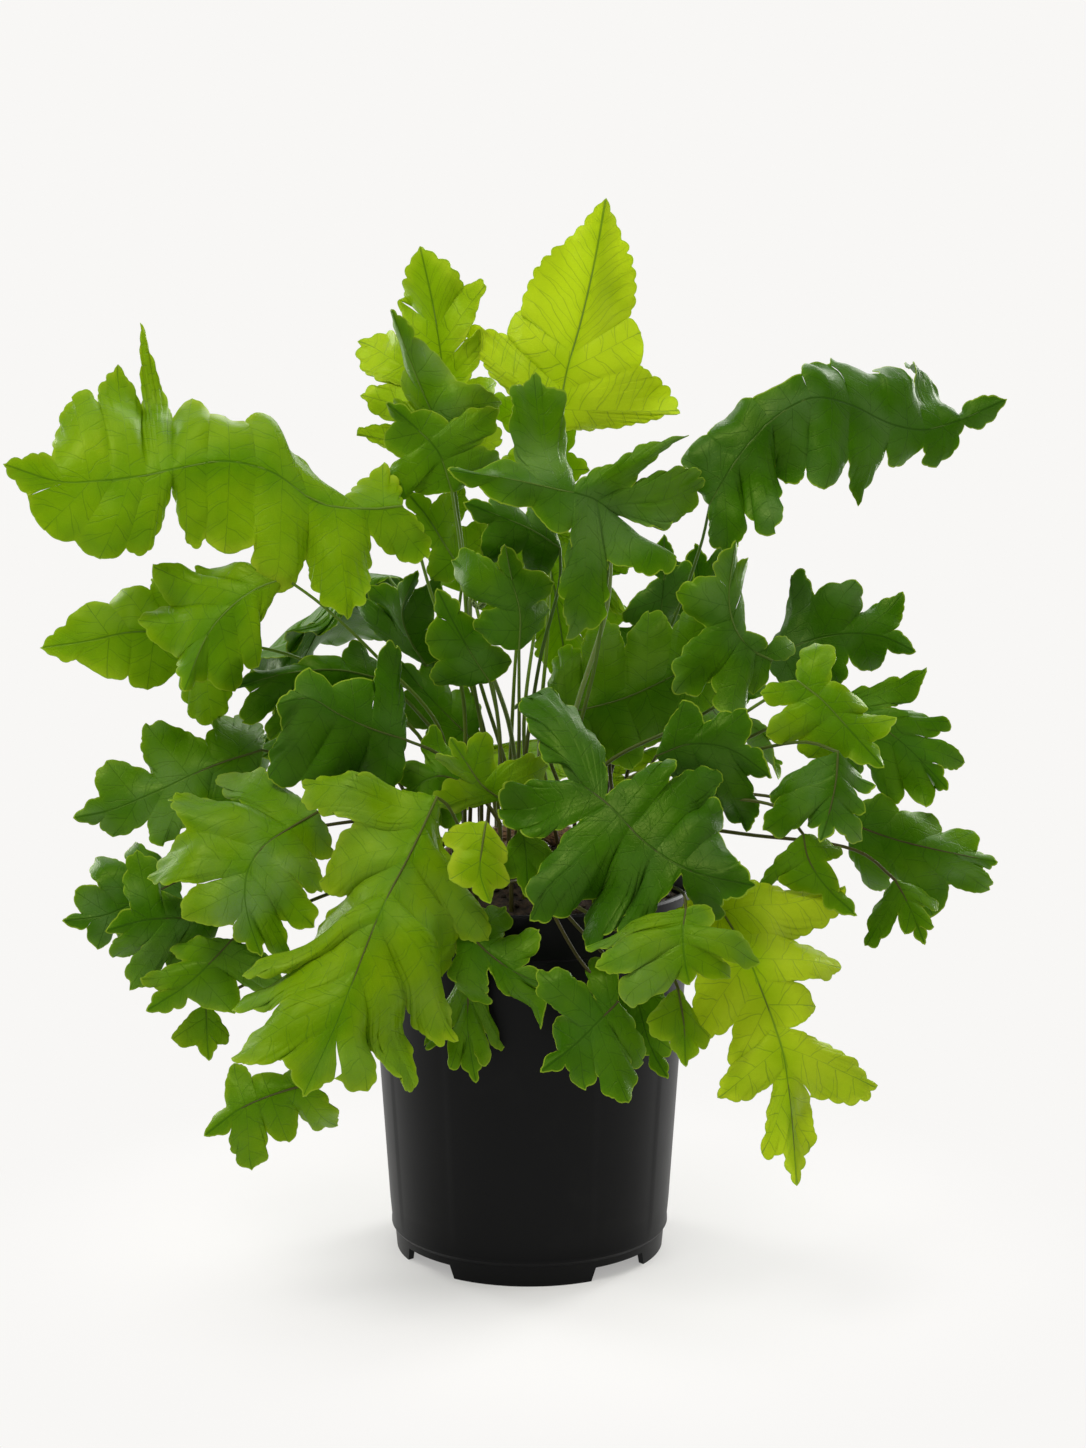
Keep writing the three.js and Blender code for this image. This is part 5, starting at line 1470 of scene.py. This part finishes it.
@dataclass
class Pot:
    """The grower's pot: one satin black moulding, in millimetres."""

    height: float = 180.0
    rim_radius: float = 80.0
    rim_height: float = 22.0
    rim_lip: float = 2.4
    body_top_radius: float = 77.0
    ridge_radius: float = 67.5
    ridge_height: float = 13.0
    foot_radius: float = 65.0
    foot_wall: float = 3.0
    wall: float = 1.8
    floor_height: float = 8.0
    floor_thickness: float = 2.0
    steps: int = 256
    wall_heights: tuple[float, ...] = (24.0, 60.0, 100.0, 140.0)
    notch_angles: tuple[float, ...] = (-48.0, 42.0, 132.0, 222.0)
    notch_width: float = 29.0
    notch_height: float = 6.5
    notch_slope: float = 2.5
    notch_reach: float = 16.0
    drain_radius: float = 5.0
    drain_circle: float = 42.0
    drain_sides: int = 40
    panel_low: float = 20.0
    panel_half_width: float = 16.0
    panel_blend: float = 1.2
    panel_depth: float = 0.35
    crease: float = math.radians(32)

    def build(self) -> bpy.types.Object:
        """Turn the pot, sink its panels, cut its notches and holes and clean its edges.

        Returns:
            The finished piece.
        """
        bm = spin_section((Vector((radius, 0.0, z)) * MM for radius, z in self._profile()),
                          self.steps)
        self._sink_panels(bm)
        pot = finish_mesh(bm, "grower_pot")
        cutter = self._cutter()
        cut = pot.modifiers.new("notches", "BOOLEAN")
        cut.object = cutter
        cut.solver = "EXACT"
        cut_pot = pot.evaluated_get(bpy.context.evaluated_depsgraph_get())
        baked = bpy.data.meshes.new_from_object(cut_pot)
        pot.modifiers.clear()
        pot.data = baked
        bpy.data.objects.remove(cutter)
        self._clean_edges(baked)
        return pot

    def _profile(self) -> list[tuple[float, float]]:
        """List the section as radius and height, from the floor's underside round to its top."""
        inside_foot = self.foot_radius - self.foot_wall
        under_rim = self.height - self.rim_height
        floor_top = self.floor_height + self.floor_thickness
        ridge = ((-0.7, -2.2), (0.0, -1.2), (0.0, 0.4), (-0.25, 1.0))
        return [
            (0.0, self.floor_height),
            (inside_foot, self.floor_height),
            (inside_foot, 0.0),
            (self.foot_radius, 0.0),
            (self.foot_radius + 0.9, self.ridge_height - 3.2),
            *((self.ridge_radius + out, self.ridge_height + up) for out, up in ridge),
            *((self.wall_radius(z), z) for z in self.wall_heights),
            (self.body_top_radius, under_rim),
            (self.rim_radius, under_rim + 1.5),
            (self.rim_radius, self.height - 1.0),
            (self.rim_radius - 1.0, self.height),
            (self.rim_radius - self.rim_lip, self.height),
            (self.body_top_radius - self.wall, under_rim),
            (self.ridge_radius - self.wall - 0.6, floor_top),
            (0.0, floor_top),
        ]

    def wall_radius(self, z: float) -> float:
        """Find the outer wall's radius between the ridge and the rim."""
        share = (z - self.ridge_height) / (self.height - self.rim_height - self.ridge_height)
        return mixed(self.ridge_radius, self.body_top_radius, share)

    def _sink_panels(self, bm: bmesh.types.BMesh) -> None:
        """Sink four shallow upright panels into the wall, one over each notch."""
        panel_high = self.height - self.rim_height - 1
        inner, outer = (self.panel_half_width + self.panel_blend * side for side in (-1, 1))
        for vert in bm.verts:
            radius = math.hypot(vert.co.x, vert.co.y) / MM
            outside = radius >= self.ridge_radius - 0.5
            if not (outside and self.panel_low < vert.co.z / MM < panel_high):
                continue
            angle = math.degrees(math.atan2(vert.co.x, -vert.co.y))
            away = min(abs((angle - notch + 180) % 360 - 180) for notch in self.notch_angles)
            inset = self.panel_depth * (1 - smooth_step(away, inner, outer))
            vert.co.x *= 1 - inset / radius
            vert.co.y *= 1 - inset / radius

    def _cutter(self) -> bpy.types.Object:
        """Make the blocks that cut the notches and the rods that cut the drain holes."""
        bm = bmesh.new()
        half = (self.foot_radius + self.foot_wall) * math.tan(math.radians(self.notch_width / 2))
        for angle in self.notch_angles:
            block = bmesh.ops.create_cube(bm, size=1.0)["verts"]
            for vert in block:
                high = vert.co.z > 0
                vert.co.x = math.copysign(half - (self.notch_slope if high else 0.0), vert.co.x)
                vert.co.y = -self.foot_radius + self.notch_reach * vert.co.y
                vert.co.z = self.notch_height if high else -2.0
            turn = Matrix.Scale(MM, 4) @ Matrix.Rotation(math.radians(angle), 4, "Z")
            bmesh.ops.transform(bm, matrix=turn, verts=block)
            hole = math.radians(angle + 45)
            spot = Vector((math.cos(hole), math.sin(hole), 0)) * self.drain_circle
            rod = Matrix.Scale(MM, 4) @ Matrix.Translation(spot + UP * self.floor_height)
            bmesh.ops.create_cone(bm, cap_ends=True, segments=self.drain_sides, matrix=rod,
                                  radius1=self.drain_radius, radius2=self.drain_radius, depth=12)
        return link_mesh(bm, "cutter")

    def _clean_edges(self, mesh: bpy.types.Mesh) -> None:
        """Clear the slivers that the cuts leave and shade the moulding smooth round its edges."""
        bm = bmesh.new()
        bm.from_mesh(mesh)
        bmesh.ops.remove_doubles(bm, verts=bm.verts[:], dist=MERGE)
        bmesh.ops.dissolve_degenerate(bm, edges=bm.edges[:], dist=2 * MERGE)
        shade_smooth(bm, self.crease)
        bm.to_mesh(mesh)
        bm.free()


@dataclass
class Soil:
    """The potting soil: a crumbly crown with bark chips and grit, in millimetres."""

    wall_gap: float = 1.6
    depth: float = 26.0
    side_taper: float = 1.2
    rings: int = 44
    steps: int = 150
    crumb: float = 1.5
    coarse_span: float = 7.0
    fine_span: float = 2.6
    chips: int = 620
    chip_sizes: tuple[float, float] = (0.6, 2.3)
    grit_sizes: tuple[float, float] = (0.7, 1.5)
    grit_every: int = 23
    edge_gap: float = 3.0
    seed: int = 11
    crease: float = math.radians(80)

    def build(self) -> bpy.types.Object:
        """Build the soil's body, its crumbly top and its chips.

        Returns:
            The finished piece.
        """
        pot = Pot()
        high, low = GROUND.edge_height, GROUND.edge_height - self.depth
        radius = pot.wall_radius(high) - pot.wall - self.wall_gap
        section = [(radius * i / self.rings, high) for i in range(self.rings + 1)]
        section += [(radius - self.side_taper, low), (0.0, low)]
        bm = spin_section((Vector((out, 0.0, z)) * MM for out, z in section), self.steps)
        for vert in bm.verts:
            if vert.co.z > (high + low) / 2 * MM:
                vert.co.z = self._crumbled(vert.co.x / MM, vert.co.y / MM) * MM
        self._scatter(bm, radius)
        return finish_mesh(bm, "potting_soil", self.crease)

    def _crumbled(self, x: float, y: float) -> float:
        """Find the height of the crumbly top at a place in plan."""
        place = Vector((x, y, 0.0))
        coarse = noise.noise(place / self.coarse_span)
        fine = noise.noise(place / self.fine_span + Vector((9, 3, 1)))
        return GROUND.soil_height(x, y) + self.crumb * (0.9 * coarse + 0.7 * fine)

    def _scatter(self, bm: bmesh.types.BMesh, radius: float) -> None:
        """Scatter bark chips, crumbs and a few pale grains over the top."""
        draw = random.Random(self.seed)
        for i in range(self.chips):
            reach = (radius - self.edge_gap) * math.sqrt(draw.random())
            angle = draw.uniform(0, 2 * math.pi)
            x, y = reach * math.cos(angle), reach * math.sin(angle)
            pale = i % self.grit_every == 0
            size = draw.uniform(*(self.grit_sizes if pale else self.chip_sizes))
            shape = Matrix.Diagonal((1.0, draw.uniform(0.5, 1.0), draw.uniform(0.3, 0.8), 1.0))
            turn = Matrix.Rotation(draw.uniform(0, 6.3), 4, (draw.random(), draw.random(), 2.0))
            place = Matrix.Translation(Vector((x, y, self._crumbled(x, y) + 0.25 * size)) * MM)
            matrix = place @ turn @ shape @ Matrix.Scale(size * MM, 4)
            chip = bmesh.ops.create_icosphere(bm, subdivisions=1, radius=1.0,
                                              matrix=matrix)["verts"]
            for face in {face for vert in chip for face in vert.link_faces}:
                face.material_index = 1 if pale else 0


@dataclass
class Rhizomes:
    """The creeping rhizomes: forking stems under narrow gold-brown scales, in millimetres."""

    sides: int = 14
    steps_per_point: int = 12
    girth: float = 0.86
    scale_spacing: float = 1.25
    scales_around: int = 11
    bare_below: float = -0.35
    sunk: float = 0.96
    lift: tuple[float, float] = (0.25, 0.7)
    scale_length: float = 4.2
    length_spread: tuple[float, float] = (0.6, 1.15)
    scale_width: float = 0.75
    seed: int = 5
    crease: float = math.radians(75)

    def build(self) -> bpy.types.Object:
        """Build the rhizomes and their scales.

        Returns:
            The finished piece.
        """
        bm = bmesh.new()
        draw = random.Random(self.seed)
        for points in GROUND.rhizomes:
            steps = self.steps_per_point * len(points)
            path = SmoothPath(GROUND.rhizome_path(points)).spaced(steps)
            radii = [self._radius(i / steps) for i in range(steps + 1)]
            sweep(bm, [point * MM for point in path], [radius * MM for radius in radii], self.sides)
            self._coat(bm, path, radii, draw)
        return finish_mesh(bm, "creeping_rhizomes", self.crease)

    def _radius(self, share: float) -> float:
        """Find a rhizome's radius, narrower at its growing tips."""
        return GROUND.rhizome_radius * self.girth * (1 - 0.3 * abs(2 * share - 1) ** 4)

    def _coat(self, bm: bmesh.types.BMesh, path: Sequence[Vector], radii: Sequence[float],
              draw: random.Random) -> None:
        """Lay the scales along a rhizome, each pressed back over the last."""
        for start, stop, radius in zip(path, path[1:], radii):
            along = stop - start
            turn = upright_ring(along)
            count = max(1, round(along.length / self.scale_spacing))
            for step, k in itertools.product(range(count), range(self.scales_around)):
                angle = 2 * math.pi * (k + draw.random()) / self.scales_around
                out = turn @ Vector((math.cos(angle), math.sin(angle), 0.0))
                if out.z < self.bare_below:
                    continue
                place = start.lerp(stop, (step + draw.random()) / count) + out * radius * self.sunk
                lean = (along.normalized() + out * draw.uniform(*self.lift)).normalized()
                size = self.scale_length * draw.uniform(*self.length_spread)
                self._scale(bm, place, upright_ring(lean), size)

    def _scale(self, bm: bmesh.types.BMesh, place: Vector, turn: Matrix, size: float) -> None:
        """Set one narrow pointed scale."""
        width = self.scale_width / size
        shape = Matrix.Scale(size, 4) @ Matrix.Diagonal((width, 0.3 * width, 1.0, 1.0))
        foot = Matrix.Translation(UP / 2)
        matrix = Matrix.Scale(MM, 4) @ Matrix.Translation(place) @ turn @ shape @ foot
        bmesh.ops.create_cone(bm, cap_ends=False, segments=3, radius1=0.5, radius2=0.04,
                              depth=1.0, matrix=matrix)


@dataclass(frozen=True)
class BladeFinish:
    """Living fern leaf: colour by age, dark veins, pale margin, painted shade and painted sheen.

    The veins are drawn in centimetres, and a line is where it fades out and where it is full.
    """

    ages: tuple[tuple[float, Colour], ...] = (
        (0.0, (0.46, 0.595, 0.020)),
        (0.2, (0.25, 0.42, 0.003)),
        (0.42, (0.120, 0.280, 0.002)),
        (0.68, (0.050, 0.163, 0.0015)),
        (1.0, (0.021, 0.086, 0.0015)),
    )
    margin: Colour = (0.36, 0.52, 0.03)
    # The colour of the painted sheen: a grey-blue reflection painted into the leaf.
    painted_sheen: Colour = (0.20, 0.32, 0.12)
    gloss: Colour = (0.8, 1.0, 0.22)
    net_tint: Colour = (1.22, 1.15, 1.1)
    vein_tints: tuple[Colour, Colour] = ((0.34, 0.48, 1.0), (0.42, 0.50, 0.9))
    glow_tints: tuple[Colour, Colour] = ((1.5, 1.35, 0.55), (1.25, 1.3, 0.6))
    # Painted sheen by age, and the most that a frond's own share of it adds.
    painted_sheen_share: float = 0.13
    painted_sheen_most: float = 0.75
    through: tuple[float, float] = (0.40, 0.22)
    roughness: float = 0.35
    specular: float = 0.24
    relief: float = 0.0007
    cloud_size: float = 0.045
    grain_size: float = 0.006
    # The size of the painted sheen's patches.
    wander_size: float = 0.016
    painted_sheen_size: float = 0.03
    net_scale: float = 430.0
    rim_line: tuple[float, float] = (0.08, 0.04)
    rib_line: tuple[float, float] = (0.075, 0.025)
    middle_line: tuple[float, float] = (0.050, 0.016)
    side_line: tuple[float, float] = (0.040, 0.010)
    fork_line: tuple[float, float] = (0.024, 0.006)
    net_line: tuple[float, float] = (0.09, 0.02)
    vein_gap: float = 0.85
    vein_slant: float = 0.9
    vein_bend: float = 0.10

    def material(self, name: str, age: float, painted_sheen: float) -> bpy.types.Material:
        """Make the leaf material of one age.

        Args:
            name: The material's name.
            age: The frond's age, from 0 to 1.
            painted_sheen: How much more painted grey-blue sheen it has than others, from 0 to 1.

        Returns:
            The material.
        """
        graph = Graph(name)
        place = graph.place()
        across, along = graph.parts("size")
        margin_way, rib_way = graph.parts("edge")
        cloud = graph.speckle(place, self.cloud_size, 3.0)
        grain = graph.speckle(place, self.grain_size, 4.0, 0.6)
        wander = graph.speckle(place, self.wander_size, 2.0) - 0.5
        # Painted shade near the rib, painted light near the margin; cloud swings partly paint both.
        tone = (age + (cloud - 0.5) * 0.55 + (grain - 0.5) * 0.12 + 0.12 * rib_way.rise(1.6, 0.0)
                - 0.12 * margin_way.rise(0.6, 0.0)).clamped()
        ground = graph.ramp(tone, self.ages)
        veins = self._veins(across, along, rib_way, margin_way, wander)
        net = self._net(graph, place)
        # Painted sheen: grey-blue patches of painted reflection, more on older fronds.
        haze = (graph.speckle(place, self.painted_sheen_size, 2.0).rise(0.4, 0.7)
                * (self.painted_sheen_share * age + self.painted_sheen_most * painted_sheen))
        skin = graph.blend(haze, ground, self.painted_sheen)
        pale = graph.blend(1.0, ground, self.net_tint, "MULTIPLY")
        skin = graph.blend((net * 0.30).clamped(), skin, pale)
        dark = graph.blend(1.0, ground, mixed_colour(*self.vein_tints, age), "MULTIPLY")
        skin = graph.blend((veins * 0.85).clamped(), skin, dark)
        rim = margin_way.rise(*self.rim_line)
        colour = graph.blend((rim * 0.7).clamped(), skin, self.margin)
        height = grain * 0.12 - veins * 0.55 - net * 0.18 + cloud * 0.4
        normal = graph.bump(height, 0.38, self.relief)
        rough = (self.roughness + (cloud - 0.5) * 0.16 + veins * 0.08).clamped()
        face = graph.surface({
            "Base Color": colour, "Roughness": rough, "Normal": normal,
            "Specular IOR Level": self.specular, "Specular Tint": self.gloss,
        })
        behind = graph.node("ShaderNodeBsdfTranslucent", None,
                            {"Color": self._glow(age), "Normal": normal}).outputs[0]
        thin = mixed(*self.through, age) * (1.0 - veins * 0.75 - (cloud - 0.5) * 0.6)
        return graph.finish(graph.mix(thin, face, behind))

    def _glow(self, age: float) -> Colour:
        """Find the colour of the light that comes through a leaf of an age."""
        above = next(i for i, (stop, _) in enumerate(self.ages) if i and stop >= age)
        (first, young), (last, old) = self.ages[above - 1:above + 1]
        colour = mixed_colour(young, old, (age - first) / (last - first))
        tint = mixed_colour(*self.glow_tints, age)
        return tuple(part * share for part, share in zip(colour, tint))

    def _veins(self, across: Value, along: Value, rib_way: Value, margin_way: Value,
               wander: Value) -> Value:
        """Draw the rib, the lobe's middle vein and the slanting side veins with their forks.

        Args:
            across: How far beside the lobe's middle vein the place lies.
            along: How far along it.
            rib_way: How far from the rib.
            margin_way: How far from the margin.
            wander: Soft noise about 0 that makes the veins wander.

        Returns:
            The strength of the veins, from 0 to 1.
        """
        rib = rib_way.rise(*self.rib_line)
        middle = abs(across + wander * 0.12).rise(*self.middle_line) * rib_way.rise(0.0, 0.2)
        beside = abs(across)
        path = (along - beside * self.vein_slant + beside * beside * self.vein_bend
                + wander * 0.75)
        turns = path / self.vein_gap + across.rise(-0.01, 0.01) * 0.5
        gap = abs(turns.fraction() - 0.5) * self.vein_gap
        fade = (0.25 + 0.75 * margin_way.rise(0.0, 0.9)) * (0.85 + 0.9 * wander).clamped()
        side = gap.rise(*self.side_line) * fade
        fork_gap = abs((turns + beside * 0.35).fraction() - 0.5) * self.vein_gap
        fork = (fork_gap.rise(*self.fork_line) * beside.rise(0.35, 0.5)
                * margin_way.rise(0.0, 0.6))
        return rib.highest(middle).highest(side * 0.8).highest(fork * 0.6)

    def _net(self, graph: Graph, place: bpy.types.NodeSocket) -> Value:
        """Draw the fine net between the veins."""
        cells = graph.node("ShaderNodeTexVoronoi", {"feature": "DISTANCE_TO_EDGE"},
                           {"Vector": place, "Scale": self.net_scale})
        return Value(graph, cells.outputs["Distance"]).rise(*self.net_line)


def mixed_colour(first: Colour, last: Colour, share: float) -> Colour:
    """Find the colour that lies a share of the way from the first to the last."""
    return tuple(mixed(a, b, share) for a, b in zip(first, last))


@dataclass(frozen=True)
class StipeFinish:
    """Smooth stalk: green where young, dark reddish brown towards the root."""

    young: Colour = (0.15, 0.26, 0.015)
    old: Colour = (0.030, 0.075, 0.008)
    root: Colour = (0.050, 0.022, 0.009)
    brown_heights: tuple[float, float] = (0.31, 0.20)
    brown_shares: tuple[float, float] = (0.55, 0.95)

    def material(self, name: str, age: float) -> bpy.types.Material:
        """Make the stalk material of one age."""
        graph = Graph(name)
        place = graph.place()
        _, _, height = graph.split(place)
        fleck = graph.speckle(place, 0.004, 3.0)
        green = mixed_colour(self.young, self.old, age)
        low = (height + (fleck - 0.5) * 0.03).rise(*self.brown_heights)
        colour = graph.blend(low * mixed(*self.brown_shares, age), green, self.root)
        return graph.finish(graph.surface({
            "Base Color": colour, "Roughness": 0.38 + 0.2 * fleck,
            "Normal": graph.bump(fleck, 0.2, 0.0003), "Specular IOR Level": 0.18}))


@dataclass(frozen=True)
class CrozierFinish:
    """Soft green tissue with a haze of pale brown down."""

    green: Colour = (0.15, 0.24, 0.03)
    down: Colour = (0.30, 0.20, 0.09)

    def material(self) -> bpy.types.Material:
        """Make the rolled frond's material."""
        graph = Graph("rolled_frond")
        place = graph.place()
        haze = graph.speckle(place, 0.0015, 3.0, 0.7)
        colour = graph.blend(haze.rise(0.5, 0.75) * 0.6, self.green, self.down)
        return graph.finish(graph.surface({
            "Base Color": colour, "Roughness": 0.6 + 0.2 * haze, "Sheen Weight": 0.4,
            "Normal": graph.bump(haze, 0.6, 0.0006)}))


@dataclass(frozen=True)
class PotFinish:
    """Near-black moulded plastic: satin, with fine grain and a few faint dusty scuffs."""

    black: Colour = (0.0005, 0.0006, 0.0007)
    dust: Colour = (0.10, 0.095, 0.085)
    scratch_turn: Triple = (0.5, 0.9, 0.3)
    scratch_stretch: Triple = (1.0, 1.0, 9.0)

    def material(self) -> bpy.types.Material:
        """Make the pot's material."""
        graph = Graph("black_plastic")
        place = graph.place()
        grain = graph.speckle(place, 0.0007, 2.0)
        cloud = graph.speckle(place, 0.05, 4.0, 0.6)
        mapping = {"Vector": place, "Rotation": self.scratch_turn, "Scale": self.scratch_stretch}
        long_way = graph.node("ShaderNodeMapping", None, mapping).outputs["Vector"]
        scratch = graph.speckle(long_way, 0.011, 5.0, 0.75).rise(0.71, 0.745)
        few = graph.speckle(place, 0.024, 1.0).rise(0.55, 0.68)
        scuff = scratch * few
        dusty = (scuff * 0.55 + cloud.rise(0.55, 0.9) * 0.05).clamped()
        colour = graph.blend(dusty, self.black, self.dust)
        rough = 0.36 + cloud * 0.14 + scuff * 0.2
        height = grain * 0.5 + scuff * 0.5
        return graph.finish(graph.surface({
            "Base Color": colour, "Roughness": rough, "Normal": graph.bump(height, 0.16, 0.0002),
            "Specular IOR Level": 0.14}))


@dataclass(frozen=True)
class SoilFinish:
    """Dark damp peat, and the pale grit in it."""

    dark: Colour = (0.012, 0.008, 0.0055)
    brown: Colour = (0.062, 0.036, 0.019)
    pale: Colour = (0.45, 0.42, 0.36)

    def material(self) -> bpy.types.Material:
        """Make the peat's material."""
        graph = Graph("peat")
        place = graph.place()
        crumb = graph.speckle(place, 0.003, 5.0, 0.65)
        colour = graph.ramp(crumb, ((0.38, self.dark), (0.66, self.brown)))
        return graph.finish(graph.surface({
            "Base Color": colour, "Roughness": 0.95, "Normal": graph.bump(crumb, 0.8, 0.0012)}))

    def grit(self) -> bpy.types.Material:
        """Make the grit's material."""
        graph = Graph("grit")
        spot = graph.speckle(graph.place(), 0.0012, 3.0)
        colour = graph.blend(spot * 0.5, self.pale, self.brown)
        return graph.finish(graph.surface({"Base Color": colour, "Roughness": 0.85}))


@dataclass(frozen=True)
class RhizomeFinish:
    """Gold-brown papery scales over a dark stem."""

    gold: Colour = (0.30, 0.155, 0.05)
    dark: Colour = (0.06, 0.028, 0.012)

    def material(self) -> bpy.types.Material:
        """Make the scales' material."""
        graph = Graph("scales")
        place = graph.place()
        fibre = graph.speckle(place, 0.0016, 4.0, 0.7)
        colour = graph.ramp(fibre, ((0.33, self.dark), (0.68, self.gold)))
        return graph.finish(graph.surface({
            "Base Color": colour, "Roughness": 0.7, "Sheen Weight": 0.3,
            "Normal": graph.bump(fibre, 0.7, 0.0006)}))


@dataclass(frozen=True)
class Softbox:
    """A soft studio light that faces the plant."""

    name: str
    place: Triple
    size: tuple[float, float]
    power: float
    tint: Colour = (1.0, 1.0, 1.0)

    def hang(self, target: Vector) -> None:
        """Hang the light so that it faces the target."""
        data = bpy.data.lights.new(self.name, "AREA")
        data.shape = "RECTANGLE"
        data.size, data.size_y = self.size
        data.energy = self.power
        data.color = self.tint
        lamp = bpy.data.objects.new(self.name, data)
        lamp.location = self.place
        lamp.rotation_euler = (target - Vector(self.place)).to_track_quat("-Z", "Y").to_euler()
        bpy.context.scene.collection.objects.link(lamp)


@dataclass
class Studio:
    """The pale floor that runs up into a pale wall all round, the soft lights and the camera."""

    floor_radius: float = 3.0
    floor_rings: tuple[float, ...] = (0.0, 0.6, 1.4)
    bend: float = 0.8
    bend_steps: int = 8
    wall_height: float = 3.2
    steps: int = 96
    wall: Colour = (0.94, 0.93, 0.915)
    floor: Colour = (0.84, 0.83, 0.815)
    near_wall: float = 0.22
    sky: float = 0.24
    target: Triple = (0.0, 0.0, 0.27)
    lights: tuple[Softbox, ...] = (
        Softbox("key", (-0.65, -0.95, 1.85), (0.7, 0.7), 20.0, (1.0, 0.985, 0.96)),
        Softbox("top", (0.1, -0.15, 2.2), (1.3, 1.3), 12.0),
        Softbox("back", (0.5, 1.5, 1.35), (1.6, 0.9), 13.0),
        Softbox("left_strip", (-1.25, 1.1, 0.55), (0.5, 1.5), 18.0),
        Softbox("right_strip", (1.2, 1.25, 0.6), (0.5, 1.5), 26.0),
    )

    def build(self) -> None:
        """Set the floor, the lights, the surroundings and the camera."""
        self._floor()
        for light in self.lights:
            light.hang(Vector(self.target))
        self._surroundings()
        bpy.context.scene.camera = VIEW.camera()
        bpy.context.scene.view_settings.view_transform = "Standard"

    def _floor(self) -> None:
        """Spin the floor and its wall in one sweep."""
        section = [Vector((radius, 0.0, 0.0)) for radius in self.floor_rings]
        for i in range(self.bend_steps + 1):
            angle = math.pi / 2 * i / self.bend_steps
            section.append(Vector((self.floor_radius - self.bend * (1 - math.sin(angle)), 0.0,
                                   self.bend * (1 - math.cos(angle)))))
        section.append(Vector((self.floor_radius, 0.0, self.wall_height)))
        bm = spin_section(section, self.steps)
        shade_smooth(bm, math.pi)
        floor = link_mesh(bm, "studio_floor")
        floor.data.materials.append(self._paper())

    def _paper(self) -> bpy.types.Material:
        """Make the pale paper, which glows towards its wall, less so in front of the plant."""
        graph = Graph("studio_paper")
        place = graph.place()
        spot = graph.node("ShaderNodeVectorMath", {"operation": "LENGTH"}, {0: place})
        # Painted light: a faint glow starts under the pot and lightens its shadow on the floor.
        away = Value(graph, spot.outputs["Value"]).rise(-0.12, 0.30)
        _, behind, high = graph.split(place)
        front = behind.rise(0.0, -2.0) * high.rise(0.0, 0.6)
        paper = graph.surface({
            "Base Color": self.floor, "Roughness": 0.9, "Specular IOR Level": 0.1})
        bright, dim = (graph.node("ShaderNodeEmission", None,
                                  {"Color": self.wall, "Strength": strength}).outputs[0]
                       for strength in (1.0, self.near_wall))
        return graph.finish(graph.mix(away, paper, graph.mix(front, bright, dim)))

    def _surroundings(self) -> None:
        """Light the scene from above with an even pale sky."""
        world = bpy.data.worlds.new("studio")
        world.use_nodes = True
        sky = world.node_tree.nodes["Background"]
        sky.inputs["Color"].default_value = (*self.wall, 1.0)
        sky.inputs["Strength"].default_value = self.sky
        bpy.context.scene.world = world


class Fern:
    """The whole plant in its pot, built piece by piece."""

    croziers = (
        CrozierMaker("crozier_tall", root=(25, 0.9), head=5.0,
                     stipe=((570, 740, -8), (608, 600, -14), (609, 497, -14))),
        CrozierMaker("crozier_short", root=(-5, 24.5), head=4.0,
                     stipe=((508, 720, 14), (482, 650, 6), (470, 618, 4))),
    )

    def build(self) -> None:
        """Build and dress every piece, and hide the plain solid that each one stands for."""
        self._fronds()
        for crozier in self.croziers:
            self._dress(crozier.build(), crozier.name, CrozierFinish().material())
        self._dress(Rhizomes().build(), "rhizome", RhizomeFinish().material())
        soil = SoilFinish()
        self._dress(Soil().build(), "soil", soil.material(), soil.grit())
        self._dress(Pot().build(), "pot", PotFinish().material())

    def _fronds(self) -> None:
        """Build and dress the fronds."""
        blade, stalk = BladeFinish(), StipeFinish()
        for seed, frond in enumerate((*FRONDS, *FAR_FRONDS)):
            self._dress(BladeMaker(frond, seed).build(), f"frond_{frond.name}",
                        blade.material(f"leaf_{frond.name}", frond.age, frond.painted_sheen),
                        stalk.material(f"stipe_{frond.name}", frond.age))

    @staticmethod
    def _dress(piece: bpy.types.Object, node: str, *materials: bpy.types.Material) -> None:
        """Give a piece its materials and let it stand for a node.

        Args:
            piece: The finished piece.
            node: The node that it replaces.
            materials: Its materials, the main one first.
        """
        for material in materials:
            piece.data.materials.append(material)
        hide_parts(node)
        LOG.info("%s stands for %s with %d faces", piece.name, node, len(piece.data.polygons))


def main() -> None:
    """Build the fern and its studio, and note the sizes."""
    logging.basicConfig(level=logging.INFO, format="%(name)s: %(message)s", stream=sys.stdout)
    Fern().build()
    Studio().build()


if __name__ == "__main__":
    main()
